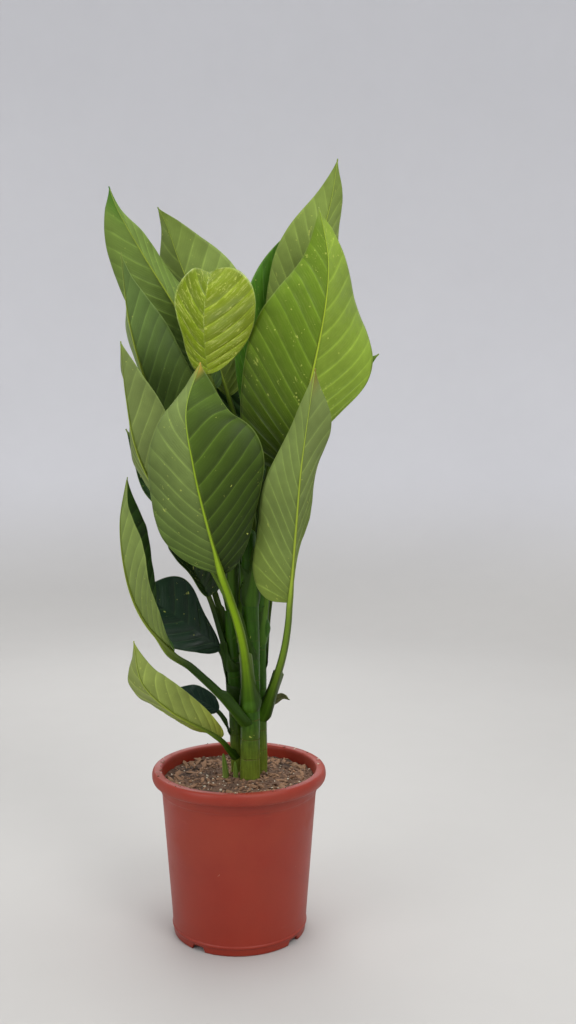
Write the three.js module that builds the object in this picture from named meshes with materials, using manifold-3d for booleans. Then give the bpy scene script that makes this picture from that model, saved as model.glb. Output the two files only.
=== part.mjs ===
// A potted dieffenbachia: a tapered plastic pot, its soil, three canes and the leaves that rise from them.
// Millimetres, +Z up, -Y towards the front. The origin is on the floor, under the middle of the pot.
import * as THREE from "three";
import { mergeVertices } from "three/addons/utils/BufferGeometryUtils.js";
import Module from "manifold-3d";

const wasm = await Module();
wasm.setup();

// Driving sizes
const GAP = 0.3; // air between pieces that touch on the real plant
const pot = {
  height: 220,
  wall: 2.2,
  edge: 1.5, // small bevels
  sides: 40,

  lipRadius: 115.5,
  lipHeight: 16,
  lipArc: [-80, -45, -10, 25, 60, 90], // degrees round the rolled edge, from below to the top
  rimSlope: 3, // how far the rim slopes down inwards
  shoulderRadius: 103.5, // outside, just under the lip
  collar: [14, 12], // heights under the lip where the thicker band below it begins
  collarStep: [1.2, 1.6], // how far that band stands out, at its foot and at the lip

  footRadius: 88,
  footHeight: 9,
  footWidth: 4.5,
  floor: 3,
  floorFillet: [3, 4], // inwards and upwards, where the floor meets the wall
  line: 10.5, // height of the moulded line above the foot
  lineWidth: 2,
  lineStep: 1.2,
  notches: 4,
  notchTurn: -35, // degrees from the front to the first notch
  notchWidth: 17,
  notchHeight: 7,
};
const soil = {
  level: 205,
  rootDepth: 62,
  sides: 40,
  rings: 4,
  roughness: 3.2,
  moundAt: [14, 6],
  moundReach: 34,
  lumpSpacing: [9, 11],
  grainSlant: 1.7,
  grainSpacing: 6.1,
};

const finishes = {
  pot: new THREE.MeshStandardMaterial({ color: 0xb9573b, roughness: 0.62 }),
  soil: new THREE.MeshStandardMaterial({ color: 0x4a3527, roughness: 0.97 }),
  cane: new THREE.MeshStandardMaterial({ color: 0x5c8a34, roughness: 0.55 }),
  scrap: new THREE.MeshStandardMaterial({ color: 0x9b7b4c, roughness: 0.9 }),
  leaf: new THREE.MeshStandardMaterial({ color: 0x4f8a32, roughness: 0.42 }),
};

// A closed surface as a solid, and a solid as a surface
function solidOf(geometry) {
  const bare = geometry.index ? geometry.toNonIndexed() : geometry.clone();
  bare.deleteAttribute("normal");
  bare.deleteAttribute("uv");
  const merged = mergeVertices(bare, 1e-4);
  return new wasm.Manifold(
    new wasm.Mesh({
      numProp: 3,
      vertProperties: merged.attributes.position.array,
      triVerts: new Uint32Array(merged.index.array),
    }),
  );
}

function geometryOf(solid) {
  const mesh = solid.getMesh();
  const geometry = new THREE.BufferGeometry();
  geometry.setAttribute("position", new THREE.BufferAttribute(mesh.vertProperties, 3));
  geometry.setIndex(new THREE.BufferAttribute(mesh.triVerts, 1));
  geometry.computeVertexNormals();
  return geometry;
}

// A mesh whose own origin is the point where the piece is held
function placed(name, solid, finish, seat) {
  const geometry = geometryOf(solid);
  geometry.translate(-seat.x, -seat.y, -seat.z);
  const mesh = new THREE.Mesh(geometry, finish);
  mesh.name = name;
  mesh.position.copy(seat);
  return mesh;
}

const vector = ([x, y, z]) => new THREE.Vector3(x, y, z);
const lerp = THREE.MathUtils.lerp;
const radians = THREE.MathUtils.degToRad;

// A solid of revolution about Z from radius and height pairs
function turned(profile, sides) {
  const geometry = new THREE.LatheGeometry(
    profile.map(([radius, height]) => new THREE.Vector2(radius, height)),
    sides,
  );
  return geometry.rotateX(Math.PI / 2);
}

// A closed tube bent along a curve, its radius following radiusAt(0..1)
function tube(curve, radiusAt, sides, steps) {
  const geometry = new THREE.CylinderGeometry(1, 1, 1, sides, steps);
  const frames = curve.computeFrenetFrames(steps, false);
  const place = geometry.attributes.position;
  for (let i = 0; i < place.count; i += 1) {
    const along = place.getY(i) + 0.5;
    const step = Math.round(along * steps);
    const radius = radiusAt(along);
    const point = curve
      .getPointAt(along)
      .addScaledVector(frames.normals[step], place.getX(i) * radius)
      .addScaledVector(frames.binormals[step], -place.getZ(i) * radius);
    place.setXYZ(i, point.x, point.y, point.z);
  }
  return geometry;
}

// Pot: a thin tapered shell on a foot ring, with a rolled lip and drain notches
function outerRadius(height) {
  const shoulder = pot.height - pot.lipHeight;
  return lerp(pot.footRadius, pot.shoulderRadius, height / shoulder);
}

const innerRadius = (height) => outerRadius(height) - pot.wall;
const floorTop = pot.footHeight + pot.floor;

function makePot() {
  const shoulder = pot.height - pot.lipHeight;
  const roll = pot.lipHeight / 2;
  const outside = (height, step = 0) => [outerRadius(height) + step, height];
  const insideFoot = pot.footRadius - pot.footWidth;
  const [filletIn, filletUp] = pot.floorFillet;
  const profile = [
    [0, pot.footHeight],
    [insideFoot - pot.edge, pot.footHeight],
    [insideFoot, 0],
    [pot.footRadius - pot.edge, 0],
    outside(pot.edge),
    outside(pot.line - pot.edge),
    outside(pot.line, pot.lineStep),
    outside(pot.line + pot.lineWidth, pot.lineStep),
    outside(pot.line + pot.lineWidth + pot.edge),
    outside(shoulder - pot.collar[0]),
    outside(shoulder - pot.collar[1], pot.collarStep[0]),
    outside(shoulder, pot.collarStep[1]),
  ];
  // the lip rolls outwards and over
  for (const angle of pot.lipArc) {
    profile.push([
      pot.lipRadius - roll / 2 + (roll / 2) * Math.cos(radians(angle)),
      shoulder + roll + roll * Math.sin(radians(angle)),
    ]);
  }
  profile.push(
    [outerRadius(shoulder) + 1, pot.height],
    [innerRadius(shoulder) + 1, pot.height - pot.rimSlope],
    [innerRadius(shoulder), shoulder],
    [innerRadius(floorTop + filletUp), floorTop + filletUp],
    [innerRadius(floorTop) - filletIn, floorTop],
    [0, floorTop],
  );
  let shell = solidOf(turned(profile, pot.sides));
  for (let i = 0; i < pot.notches; i += 1) {
    const notch = new THREE.BoxGeometry(pot.notchWidth, 6 * pot.footWidth, 2 * pot.notchHeight);
    notch.translate(0, -pot.footRadius, 0);
    notch.rotateZ(radians(pot.notchTurn) + (2 * Math.PI * i) / pot.notches);
    shell = shell.subtract(solidOf(notch));
  }
  return shell;
}

// Canes: three jointed green stems, planted close together
const canes = {
  cane_front: {
    path: [[14, -6, soil.level - soil.rootDepth], [15, -7, 260], [16, -9, 400], [13, -8, 540]],
    radius: [14, 10],
  },
  cane_left: {
    path: [[1, 18, soil.level - soil.rootDepth], [-4, 19, 270], [-12, 20, 430]],
    radius: [11, 8],
  },
  cane_right: {
    path: [[27, 20, soil.level - soil.rootDepth], [27, 21, 320], [27, 22, 500]],
    radius: [10.5, 8],
  },
};
const CANE_SIDES = 9;
const CANE_STEPS = 12;
const JOINT_SPACING = 3; // steps from one leaf scar to the next
const JOINT_SWELL = 1.07;
const CANE_END = 0.6; // how much of its width a cane keeps at its rounded top

function caneCurve(name) {
  return new THREE.CatmullRomCurve3(canes[name].path.map(vector), false, "centripetal");
}

function makeCane(name, extra = 0) {
  const [thick, thin] = canes[name].radius;
  const radiusAt = (along) => {
    const step = Math.round(along * CANE_STEPS);
    const swell = step % JOINT_SPACING === 0 ? JOINT_SWELL : 1;
    const rounded = step === CANE_STEPS ? CANE_END : 1;
    return lerp(thick, thin, along) * swell * rounded + extra;
  };
  return solidOf(tube(caneCurve(name), radiusAt, CANE_SIDES, CANE_STEPS));
}

// Height of the soil above its level: a low mound round the stems, with lumps and grains
function soilRise(x, y) {
  const mound = Math.cos(Math.hypot(x - soil.moundAt[0], y - soil.moundAt[1]) / soil.moundReach);
  const lumps = Math.sin(x / soil.lumpSpacing[0] + 1.3) * Math.cos(y / soil.lumpSpacing[1] - 0.4);
  const grains = Math.sin((x - soil.grainSlant * y) / soil.grainSpacing);
  return soil.roughness * (0.5 * mound + 0.5 * lumps + 0.3 * grains);
}

// Soil: the whole fill of the pot, uneven on top, with a plain hole for each stem
function makeSoil(holes) {
  const bottom = floorTop + GAP;
  const edge = (height) => innerRadius(height) - GAP;
  const [filletIn, filletUp] = pot.floorFillet;
  const brim = soil.level - 2;
  const profile = [
    [0, bottom],
    [edge(floorTop) - filletIn, bottom],
    [edge(floorTop + filletUp), floorTop + filletUp],
    [edge(brim), brim],
  ];
  for (let ring = soil.rings - 1; ring > 0; ring -= 1) {
    profile.push([(edge(soil.level) * (ring + 0.4)) / soil.rings, soil.level]);
  }
  profile.push([0, soil.level]);
  const geometry = turned(profile, soil.sides);
  const place = geometry.attributes.position;
  for (let i = 0; i < place.count; i += 1) {
    if (place.getZ(i) <= brim) continue;
    place.setZ(i, soil.level + soilRise(place.getX(i), place.getY(i)));
  }
  return holes.reduce((fill, hole) => fill.subtract(hole), solidOf(geometry));
}

// Shoots: two short pointed ones beside the canes, each in a hole of its own
const shoots = {
  shoot_left: { path: [[-17, 2, 188], [-18, 0, 212], [-21, -3, 238]], radius: 4.6 },
  shoot_front: { path: [[-3, -7, 188], [-4, -9, 208], [-5, -12, 230]], radius: 4 },
};
const SHOOT_STEPS = 6;
const SHOOT_POINT = 0.98; // 1 would bring a shoot to a true point

function makeShoot(name, extra = 0) {
  const { path, radius } = shoots[name];
  const curve = new THREE.CatmullRomCurve3(path.map(vector), false, "centripetal");
  const radiusAt = (along) => radius * Math.sqrt(1 - SHOOT_POINT * along ** 2) + extra;
  return solidOf(tube(curve, radiusAt, CANE_SIDES, SHOOT_STEPS));
}

// Leaves: each is one petiole that runs on as the midrib of its blade.
// A blade is laid out flat first, in rows that follow the side veins, and then bent, folded and waved.
const BLADE_ROWS = 10;
const ROW_CROWDING = 0.55; // how much closer the rows lie at the base and at the tip
const BLADE_COLUMNS = [-1, -0.62, -0.26, 0, 0.26, 0.62, 1];
const BLADE_THICKNESS = [1.3, 0.8]; // at the midrib and at the margin
const MIDRIB_HEIGHT = [3.4, 0.5]; // at the base and at the tip
const TIP_HALF_WIDTH = 0.9;
const BASE_TAPER = 0.55;
const TIP_TAPER = 1.25;
const LOBE_FADE = 6;
const WAVE_GRIP = 14; // half width under which the margin's wave dies away
const VEIN_LEAN = 0.17;
const VEIN_CURVE = 1.3;
const CURVE_FINENESS = 60;
const PETIOLE_SIDES = 6;
const PETIOLE_STEP = 34;
const PETIOLE_TAPER = 0.7;
const PETIOLE_REACH = 0.16; // how far it runs on under the blade, as a part of the blade's length
const PETIOLE_SINK = 1.6; // how far under the midrib it lies there
const PETIOLE_END = 1.4; // its radius there

// Half width of a flat blade as a part of its widest, which it has at peak. A larger taper narrows the base.
function flatWidth(along, { peak, taper = BASE_TAPER }) {
  const skewed = along ** (Math.log(0.5) / Math.log(peak));
  return Math.max(0, Math.sin(Math.PI * skewed)) ** lerp(taper, TIP_TAPER, along);
}

// Direction of an azimuth and an elevation in degrees: 0 is towards the front, 90 towards +X
function direction(azimuth, elevation) {
  const [a, e] = [radians(azimuth), radians(elevation)];
  return new THREE.Vector3(Math.sin(a) * Math.cos(e), -Math.cos(a) * Math.cos(e), Math.sin(e));
}

// The curve of the petiole and midrib, and the point, direction and facing at a place along the blade
function leafLine(leaf) {
  const points = [...leaf.petiole, ...leaf.blade].map(vector);
  const curve = new THREE.CatmullRomCurve3(points, false, "centripetal");
  const lengths = curve.getLengths(CURVE_FINENESS * (points.length - 1));
  const total = lengths[lengths.length - 1];
  const stalk = lengths[CURVE_FINENESS * leaf.petiole.length];
  const length = total - stalk;
  const at = (along) => {
    const clamped = THREE.MathUtils.clamp(along, 0, 1);
    const u = Math.min(1, (stalk + clamped * length) / total);
    const tangent = curve.getTangentAt(u);
    const point = curve.getPointAt(u).addScaledVector(tangent, (along - clamped) * length);
    const [from, to] = leaf.face;
    const facing = direction(lerp(from[0], to[0], clamped), lerp(from[1], to[1], clamped));
    facing.addScaledVector(tangent, -facing.dot(tangent)).normalize();
    const across = new THREE.Vector3().crossVectors(tangent, facing);
    return { point, tangent, facing, across };
  };
  return { curve, total, stalk, length, at };
}

// A point of the blade: column -1..1 across it, row 0..1 along it, face 1 underneath and -1 on top
function bladePoint(leaf, line, column, row, face) {
  const side = column < 0 ? -1 : 1;
  const half = column < 0 ? leaf.left : leaf.right;
  const out = Math.abs(column);
  const halfWidth = Math.max(flatWidth(row, half) * half.width, TIP_HALF_WIDTH);
  const width = out * halfWidth;
  const start = row - VEIN_LEAN * Math.sin(Math.PI * row);
  const lobe = leaf.lobe * (width / half.width) * (1 - row) ** LOBE_FADE;
  const along = start + (row - start) * out ** VEIN_CURVE - lobe;
  const share = THREE.MathUtils.clamp(along, 0, 1);
  const { point, facing, across } = line.at(along);

  // each half leaves the midrib at its fold and curls on towards the margin
  const fold = radians(lerp(...half.fold, share));
  const curl = radians(lerp(...half.curl, share)) / half.width;
  const angle = fold + curl * width;
  point.addScaledVector(across, (side * (Math.sin(angle) - Math.sin(fold))) / curl);
  point.addScaledVector(facing, (Math.cos(angle) - Math.cos(fold)) / curl);

  const tilt = column === 0 ? 0 : angle;
  const outward = facing.clone().multiplyScalar(Math.cos(tilt));
  outward.addScaledVector(across, side * Math.sin(tilt));
  const [height, count, phase] = leaf.wave;
  const ripple = height * out ** 2 * Math.sin(2 * Math.PI * count * along + phase + side);
  const grip = Math.min(1, halfWidth / WAVE_GRIP);
  const rib = face > 0 && column === 0 ? lerp(...MIDRIB_HEIGHT, share) : 0;
  const thickness = lerp(...BLADE_THICKNESS, out);
  return point.addScaledVector(outward, ripple * grip + (face * thickness) / 2 + rib);
}

function bladeGeometry(leaf, line) {
  const columns = BLADE_COLUMNS.length;
  const positions = [];
  for (const face of [1, -1]) {
    for (let r = 0; r <= BLADE_ROWS; r += 1) {
      const even = r / BLADE_ROWS;
      const row = lerp(even, (1 - Math.cos(Math.PI * even)) / 2, ROW_CROWDING);
      for (const column of BLADE_COLUMNS) {
        positions.push(...bladePoint(leaf, line, column, row, face).toArray());
      }
    }
  }
  const under = (r, c) => r * columns + c;
  const top = (r, c) => (BLADE_ROWS + 1 + r) * columns + c;
  const faces = [];
  // both faces are split along the same diagonals, which fan out from the midrib
  for (let r = 0; r < BLADE_ROWS; r += 1) {
    for (let c = 0; c < columns - 1; c += 1) {
      const corners = [[r, c], [r, c + 1], [r + 1, c + 1], [r + 1, c]];
      if (BLADE_COLUMNS[c] < 0) corners.push(corners.shift());
      for (const [i, j, k] of [[0, 1, 2], [0, 2, 3]]) {
        faces.push(under(...corners[i]), under(...corners[j]), under(...corners[k]));
        faces.push(top(...corners[k]), top(...corners[j]), top(...corners[i]));
      }
    }
  }
  const rim = [];
  for (let c = 0; c < columns - 1; c += 1) rim.push([0, c]);
  for (let r = 0; r < BLADE_ROWS; r += 1) rim.push([r, columns - 1]);
  for (let c = columns - 1; c > 0; c -= 1) rim.push([BLADE_ROWS, c]);
  for (let r = BLADE_ROWS; r > 0; r -= 1) rim.push([r, 0]);
  rim.forEach((here, i) => {
    const next = rim[(i + 1) % rim.length];
    faces.push(under(...next), under(...here), top(...here));
    faces.push(under(...next), top(...here), top(...next));
  });
  const geometry = new THREE.BufferGeometry();
  geometry.setAttribute("position", new THREE.Float32BufferAttribute(positions, 3));
  geometry.setIndex(faces);
  return geometry;
}

// The petiole as a tapering tube that ends under the first part of the blade
function petioleGeometry(leaf, line) {
  const reach = line.stalk + PETIOLE_REACH * line.length;
  const [thick, thin] = leaf.stalk;
  const steps = Math.max(7, Math.round(reach / PETIOLE_STEP));
  const sunk = new THREE.Curve();
  sunk.getPoint = (t) => {
    const distance = t * reach;
    const point = line.curve.getPointAt(distance / line.total);
    const under = THREE.MathUtils.smoothstep(distance, line.stalk - 30, line.stalk + 5);
    return point.addScaledVector(line.at(0.03).facing, under * PETIOLE_SINK);
  };
  const radiusAt = (t) => {
    const onBlade = THREE.MathUtils.smoothstep(t * reach, line.stalk, reach);
    const tapered = lerp(thick, thin, Math.min(1, (t * reach) / line.stalk) ** PETIOLE_TAPER);
    return lerp(tapered, PETIOLE_END, onBlade);
  };
  return tube(sunk, radiusAt, PETIOLE_SIDES, steps);
}

function makeLeaf(leaf, seats) {
  const line = leafLine(leaf);
  let solid = solidOf(bladeGeometry(leaf, line));
  solid = solid.add(solidOf(petioleGeometry(leaf, line)));
  return seats.reduce((rest, seat) => rest.subtract(seat), solid);
}

// face: azimuth and elevation of the underside at the base and at the tip
// left and right: the two halves seen from below with the tip up; fold and curl run from base to tip
const leaves = {
  leaf_front: {
    petiole: [[15, -7, 292], [12, -30, 350], [5, -54, 408]],
    blade: [[-17, -84, 490], [-36, -104, 565], [-48, -114, 623], [-57, -109, 690], [-42, -76, 750]],
    face: [[-5, -10], [-10, 25]],
    left: { width: 74, peak: 0.38, taper: 1, fold: [4, 25], curl: [14, 25] },
    right: { width: 86, peak: 0.52, fold: [8, 10], curl: [14, 25] },
    lobe: 0.02, wave: [4, 2.2, 0.3], stalk: [8, 4.8],
  },
  leaf_front_right: {
    petiole: [[27, 21, 272], [42, 2, 316], [60, -40, 385]],
    blade: [[68, -76, 453], [75, -100, 546], [81, -108, 621], [92, -108, 703], [98, -94, 742]],
    face: [[-15, -10], [-5, 10]],
    left: { width: 57, peak: 0.24, fold: [5, 12], curl: [20, 15] },
    right: { width: 37, peak: 0.7, fold: [78, 32], curl: [10, 10] },
    lobe: 0.06, wave: [4, 2.4, 1.2], stalk: [7, 4],
  },
  leaf_right_large: {
    petiole: [[16, -9, 430], [28, -24, 520]],
    blade: [[64, -34, 615], [96, -50, 741], [112, -52, 826], [115, -40, 880], [104, -14, 948]],
    face: [[5, 0], [15, 10]],
    left: { width: 90, peak: 0.36, fold: [10, 15], curl: [12, 15] },
    right: { width: 97, peak: 0.51, taper: 1.85, fold: [4, 52], curl: [10, 20] },
    lobe: 0.04, wave: [6, 2, 2], stalk: [7, 4.5],
  },
  leaf_left_low: {
    petiole: [[15, -7, 274], [-20, -20, 320], [-52, -30, 354]],
    blade: [[-82, -34, 382], [-117, -35, 420], [-138, -34, 466], [-149, -32, 545], [-141, -24, 607]],
    face: [[-62, -28], [-75, -5]],
    left: { width: 50, peak: 0.56, fold: [48, 60], curl: [10, 10] },
    right: { width: 42, peak: 0.48, taper: 0.9, fold: [20, 30], curl: [10, 10] },
    lobe: 0.04, wave: [3, 2.2, 0.8], stalk: [8.5, 5.5],
  },
  leaf_bottom_left: {
    petiole: [[-2, 18, 222], [-13, 4, 240]],
    blade: [[-24, -12, 262], [-86, -40, 306], [-122, -44, 344], [-134, -34, 396]],
    face: [[0, -50], [-30, -20]],
    left: { width: 40, peak: 0.62, fold: [15, 20], curl: [12, 12] },
    right: { width: 34, peak: 0.5, fold: [25, 25], curl: [10, 10] },
    lobe: 0.05, wave: [3, 2, 0.2], stalk: [5.5, 3.5],
  },
  leaf_dark_left: {
    petiole: [[-5, 19, 292], [-17, 22, 343]],
    blade: [[-26, 27, 371], [-76, 30, 410], [-140, 40, 450]],
    face: [[180, -20], [180, -20]],
    left: { width: 48, peak: 0.67, fold: [10, 10], curl: [10, 10] },
    right: { width: 40, peak: 0.5, fold: [10, 10], curl: [10, 10] },
    lobe: 0.05, wave: [3, 2, 1.4], stalk: [5, 3.5],
  },
  leaf_low_small: {
    petiole: [[-4, 19, 252], [-17, 20, 272]],
    blade: [[-30, 25, 288], [-60, 33, 304], [-91, 40, 316]],
    face: [[180, -20], [200, -30]],
    left: { width: 18, peak: 0.45, fold: [20, 20], curl: [10, 10] },
    right: { width: 18, peak: 0.45, fold: [30, 30], curl: [10, 10] },
    lobe: 0.04, wave: [2, 2, 0], stalk: [4.5, 3],
  },
  leaf_dark_inner: {
    petiole: [[-9, 19, 336], [-24, 16, 394]],
    blade: [[-41, 17, 446], [-79, 16, 514], [-106, 20, 590]],
    face: [[178, -5], [178, 0]],
    left: { width: 44, peak: 0.4, fold: [8, 8], curl: [10, 10] },
    right: { width: 18, peak: 0.45, fold: [60, 50], curl: [10, 10] },
    lobe: 0.02, wave: [3, 2, 0.5], stalk: [5, 3.5],
  },
  leaf_left: {
    petiole: [[16, -9, 360], [-8, -25, 440]],
    blade: [[-52, -26, 520], [-98, -26, 580], [-128, -24, 642], [-141, -20, 708], [-149, -14, 780]],
    face: [[-45, -15], [-60, 5]],
    left: { width: 46, peak: 0.46, fold: [14, 24], curl: [10, 10] },
    right: { width: 56, peak: 0.56, fold: [15, 30], curl: [10, 10] },
    lobe: 0.04, wave: [4, 2.2, 2.2], stalk: [6.5, 4],
  },
  leaf_left_inner: {
    petiole: [[-8, 20, 350], [-28, 30, 430]],
    blade: [[-64, 34, 530], [-114, 38, 596], [-150, 30, 668]],
    face: [[-170, -10], [-170, 0]],
    left: { width: 30, peak: 0.45, fold: [12, 12], curl: [10, 10] },
    right: { width: 18, peak: 0.45, fold: [12, 12], curl: [10, 10] },
    lobe: 0.04, wave: [3, 2, 1], stalk: [5.5, 3.5],
  },
  leaf_upper_left: {
    petiole: [[15, -9, 450], [-2, 4, 530], [-34, 20, 590]],
    blade: [[-72, 26, 640], [-114, 18, 715], [-138, 2, 800], [-148, -8, 892]],
    face: [[-42, -5], [-48, 5]],
    left: { width: 58, peak: 0.42, fold: [20, 34], curl: [10, 10] },
    right: { width: 64, peak: 0.38, fold: [16, 30], curl: [10, 10] },
    lobe: 0.04, wave: [4, 2.2, 0.4], stalk: [6.5, 4],
  },
  leaf_tall_left: {
    petiole: [[-11, 20, 418], [-10, 26, 560], [-18, 42, 650]],
    blade: [[-34, 50, 722], [-76, 54, 814], [-128, 48, 900], [-159, 40, 956], [-170, 42, 985]],
    face: [[-10, -10], [-10, 0]],
    left: { width: 62, peak: 0.55, fold: [12, 12], curl: [12, 12] },
    right: { width: 32, peak: 0.4, fold: [35, 60], curl: [15, 15] },
    lobe: 0.03, wave: [4, 2.4, 1.9], stalk: [6, 3.5],
  },
  leaf_speckled: {
    petiole: [[13, -8, 535], [4, -2, 610], [-22, -18, 690]],
    blade: [[-36, -30, 738], [-41, -30, 800], [-38, -12, 850], [-34, 20, 872]],
    face: [[188, -8], [180, -70]],
    left: { width: 74, peak: 0.52, fold: [8, 30], curl: [15, 15] },
    right: { width: 46, peak: 0.5, fold: [30, 40], curl: [15, 15] },
    lobe: 0.04, wave: [3, 2, 0], stalk: [5.5, 3.5],
  },
  leaf_top_middle: {
    petiole: [[-9, 20, 378], [2, 34, 440], [6, 52, 580], [0, 66, 650]],
    blade: [[-16, 76, 712], [-60, 90, 838], [-86, 94, 903], [-100, 90, 944], [-111, 83, 966]],
    face: [[0, -10], [-10, 0]],
    left: { width: 46, peak: 0.58, fold: [25, 30], curl: [10, 10] },
    right: { width: 70, peak: 0.5, fold: [2, 8], curl: [10, 10] },
    lobe: 0.04, wave: [4, 2, 1.1], stalk: [6, 3.5],
  },
  leaf_tallest: {
    petiole: [[27, 22, 492], [38, 20, 600]],
    blade: [[70, 22, 735], [94, 26, 849], [108, 26, 913], [121, 22, 964], [129, 18, 1015]],
    face: [[5, -5], [15, 0]],
    left: { width: 58, peak: 0.42, fold: [12, 12], curl: [15, 15] },
    right: { width: 54, peak: 0.45, fold: [30, 40], curl: [15, 15] },
    lobe: 0.04, wave: [4, 2.2, 0.6], stalk: [6.5, 4],
  },
  leaf_dark_right: {
    petiole: [[27, 21, 420], [29, 42, 520], [22, 50, 615]],
    blade: [[14, 56, 680], [36, 62, 826], [84, 56, 952]],
    face: [[185, -10], [190, -10]],
    left: { width: 50, peak: 0.5, fold: [12, 12], curl: [10, 10] },
    right: { width: 35, peak: 0.5, fold: [12, 12], curl: [10, 10] },
    lobe: 0.04, wave: [4, 2.2, 2.6], stalk: [6, 4],
  },
  leaf_right_tip: {
    petiole: [[27, 21, 372], [45, 20, 520]],
    blade: [[68, 14, 640], [126, 14, 716], [184, 22, 766]],
    face: [[20, -20], [10, -10]],
    left: { width: 38, peak: 0.45, fold: [20, 20], curl: [10, 10] },
    right: { width: 26, peak: 0.45, fold: [40, 20], curl: [10, 10] },
    lobe: 0.04, wave: [4, 2, 0.9], stalk: [5.5, 3.5],
  },
  leaf_back_low: {
    petiole: [[27, 21, 290], [27, 58, 360]],
    blade: [[20, 89, 416], [8, 119, 525], [4, 113, 650]],
    face: [[180, -10], [180, 15]],
    left: { width: 56, peak: 0.42, fold: [15, 15], curl: [15, 15] },
    right: { width: 56, peak: 0.42, fold: [15, 15], curl: [15, 15] },
    lobe: 0.05, wave: [5, 2, 0.5], stalk: [6.5, 4],
  },
  leaf_back_right: {
    petiole: [[27, 21, 340], [40, 52, 440]],
    blade: [[58, 86, 556], [86, 114, 680], [102, 104, 800]],
    face: [[160, -5], [155, 15]],
    left: { width: 50, peak: 0.42, fold: [15, 15], curl: [15, 15] },
    right: { width: 50, peak: 0.42, fold: [15, 15], curl: [15, 15] },
    lobe: 0.05, wave: [4, 2.2, 1.6], stalk: [6, 4],
  },
  leaf_back_left: {
    petiole: [[-6, 19, 310], [-11, 50, 400]],
    blade: [[-44, 84, 515], [-82, 112, 638], [-102, 102, 748]],
    face: [[200, -5], [205, 15]],
    left: { width: 54, peak: 0.42, fold: [15, 15], curl: [15, 15] },
    right: { width: 54, peak: 0.42, fold: [15, 15], curl: [15, 15] },
    lobe: 0.05, wave: [4, 2.2, 2.4], stalk: [6, 4],
  },
  leaf_back_upper: {
    petiole: [[27, 21, 388], [25, 54, 470], [14, 72, 570]],
    blade: [[10, 88, 662], [14, 116, 760], [20, 112, 872]],
    face: [[180, -5], [180, 20]],
    left: { width: 52, peak: 0.42, fold: [12, 15], curl: [15, 15] },
    right: { width: 58, peak: 0.38, fold: [8, 15], curl: [12, 15] },
    lobe: 0.05, wave: [4, 2, 0.1], stalk: [6, 4],
  },
};

// Old sheath: a dried curl of leaf base that still clings to the cane on the right
const sheath = {
  petiole: [[27, 21, 295], [42, 24, 299]],
  blade: [[49, 24, 303], [58, 21, 308], [67, 16, 306]],
  face: [[20, -60], [20, -60]],
  left: { width: 7, peak: 0.4, fold: [35, 35], curl: [30, 30] },
  right: { width: 6, peak: 0.4, fold: [35, 35], curl: [30, 30] },
  lobe: 0, wave: [1, 1, 0], stalk: [3.2, 2.4],
};

// The whole plant
const plant = new THREE.Group();
plant.name = "potted_dieffenbachia";
plant.add(placed("pot", makePot(), finishes.pot, new THREE.Vector3()));

const caneNames = Object.keys(canes);
const shootNames = Object.keys(shoots);
const sockets = caneNames.map((name) => makeCane(name, GAP));
const holes = [...sockets, ...shootNames.map((name) => makeShoot(name, GAP))];
plant.add(placed("soil", makeSoil(holes), finishes.soil, new THREE.Vector3(0, 0, floorTop)));
for (const name of caneNames) {
  plant.add(placed(name, makeCane(name), finishes.cane, vector(canes[name].path[0])));
}
for (const name of shootNames) {
  plant.add(placed(name, makeShoot(name), finishes.cane, vector(shoots[name].path[0])));
}
for (const [name, leaf] of Object.entries(leaves)) {
  plant.add(placed(name, makeLeaf(leaf, sockets), finishes.leaf, vector(leaf.petiole[0])));
}
plant.add(placed("old_sheath", makeLeaf(sheath, sockets), finishes.scrap, vector(sheath.petiole[0])));

export default plant;
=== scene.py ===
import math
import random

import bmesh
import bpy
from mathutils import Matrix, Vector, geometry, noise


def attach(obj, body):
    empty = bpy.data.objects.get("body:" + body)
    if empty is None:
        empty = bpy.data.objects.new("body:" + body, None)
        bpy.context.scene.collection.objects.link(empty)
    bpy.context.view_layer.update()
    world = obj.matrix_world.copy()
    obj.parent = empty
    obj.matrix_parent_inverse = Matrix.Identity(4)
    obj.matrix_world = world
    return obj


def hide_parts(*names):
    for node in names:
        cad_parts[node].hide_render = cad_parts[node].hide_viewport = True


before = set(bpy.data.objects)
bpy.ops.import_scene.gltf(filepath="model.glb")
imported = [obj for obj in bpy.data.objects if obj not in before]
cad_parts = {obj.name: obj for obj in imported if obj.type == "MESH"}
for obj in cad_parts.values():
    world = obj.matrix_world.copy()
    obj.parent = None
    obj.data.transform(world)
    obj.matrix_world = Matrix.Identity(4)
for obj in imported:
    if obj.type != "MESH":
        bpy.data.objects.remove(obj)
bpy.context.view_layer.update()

# %% [markdown]
# # A potted dieffenbachia
#
# The part is a tall foliage plant in a plastic grower's pot. Its plain solids are loaded above as a
# fixed frame. This notebook puts a living surface over them: veined leaves, ringed canes, crumbly
# soil and a scuffed pot. All lengths below are in millimetres, as on the plain solids, and each
# finished mesh is shrunk to metres at the end, because Blender works in metres. Sizes inside a
# material are in metres, because a material sees the finished mesh.
#
# The first cell loads the plain solids and sets each one's placement into its mesh. They stay in
# the scene, so that the finished plant can be measured against them.

METRES = 0.001
FULL_TURN = 2 * math.pi

# %% [markdown]
# ## Camera
#
# The camera stands where the photographer's stood: a little above the middle of the plant and
# looking slightly down. Its place was found by fitting a pinhole camera to the photograph. A long
# lens further away would flatten the pot's rim to a line, so the true distance matters.

# %% Camera
FOCAL_LENGTH = 38.67
SENSOR = 36.0
CAMERA_AT = (0.065, -1.432, 0.683)
CAMERA_PITCH = 4.91

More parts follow.
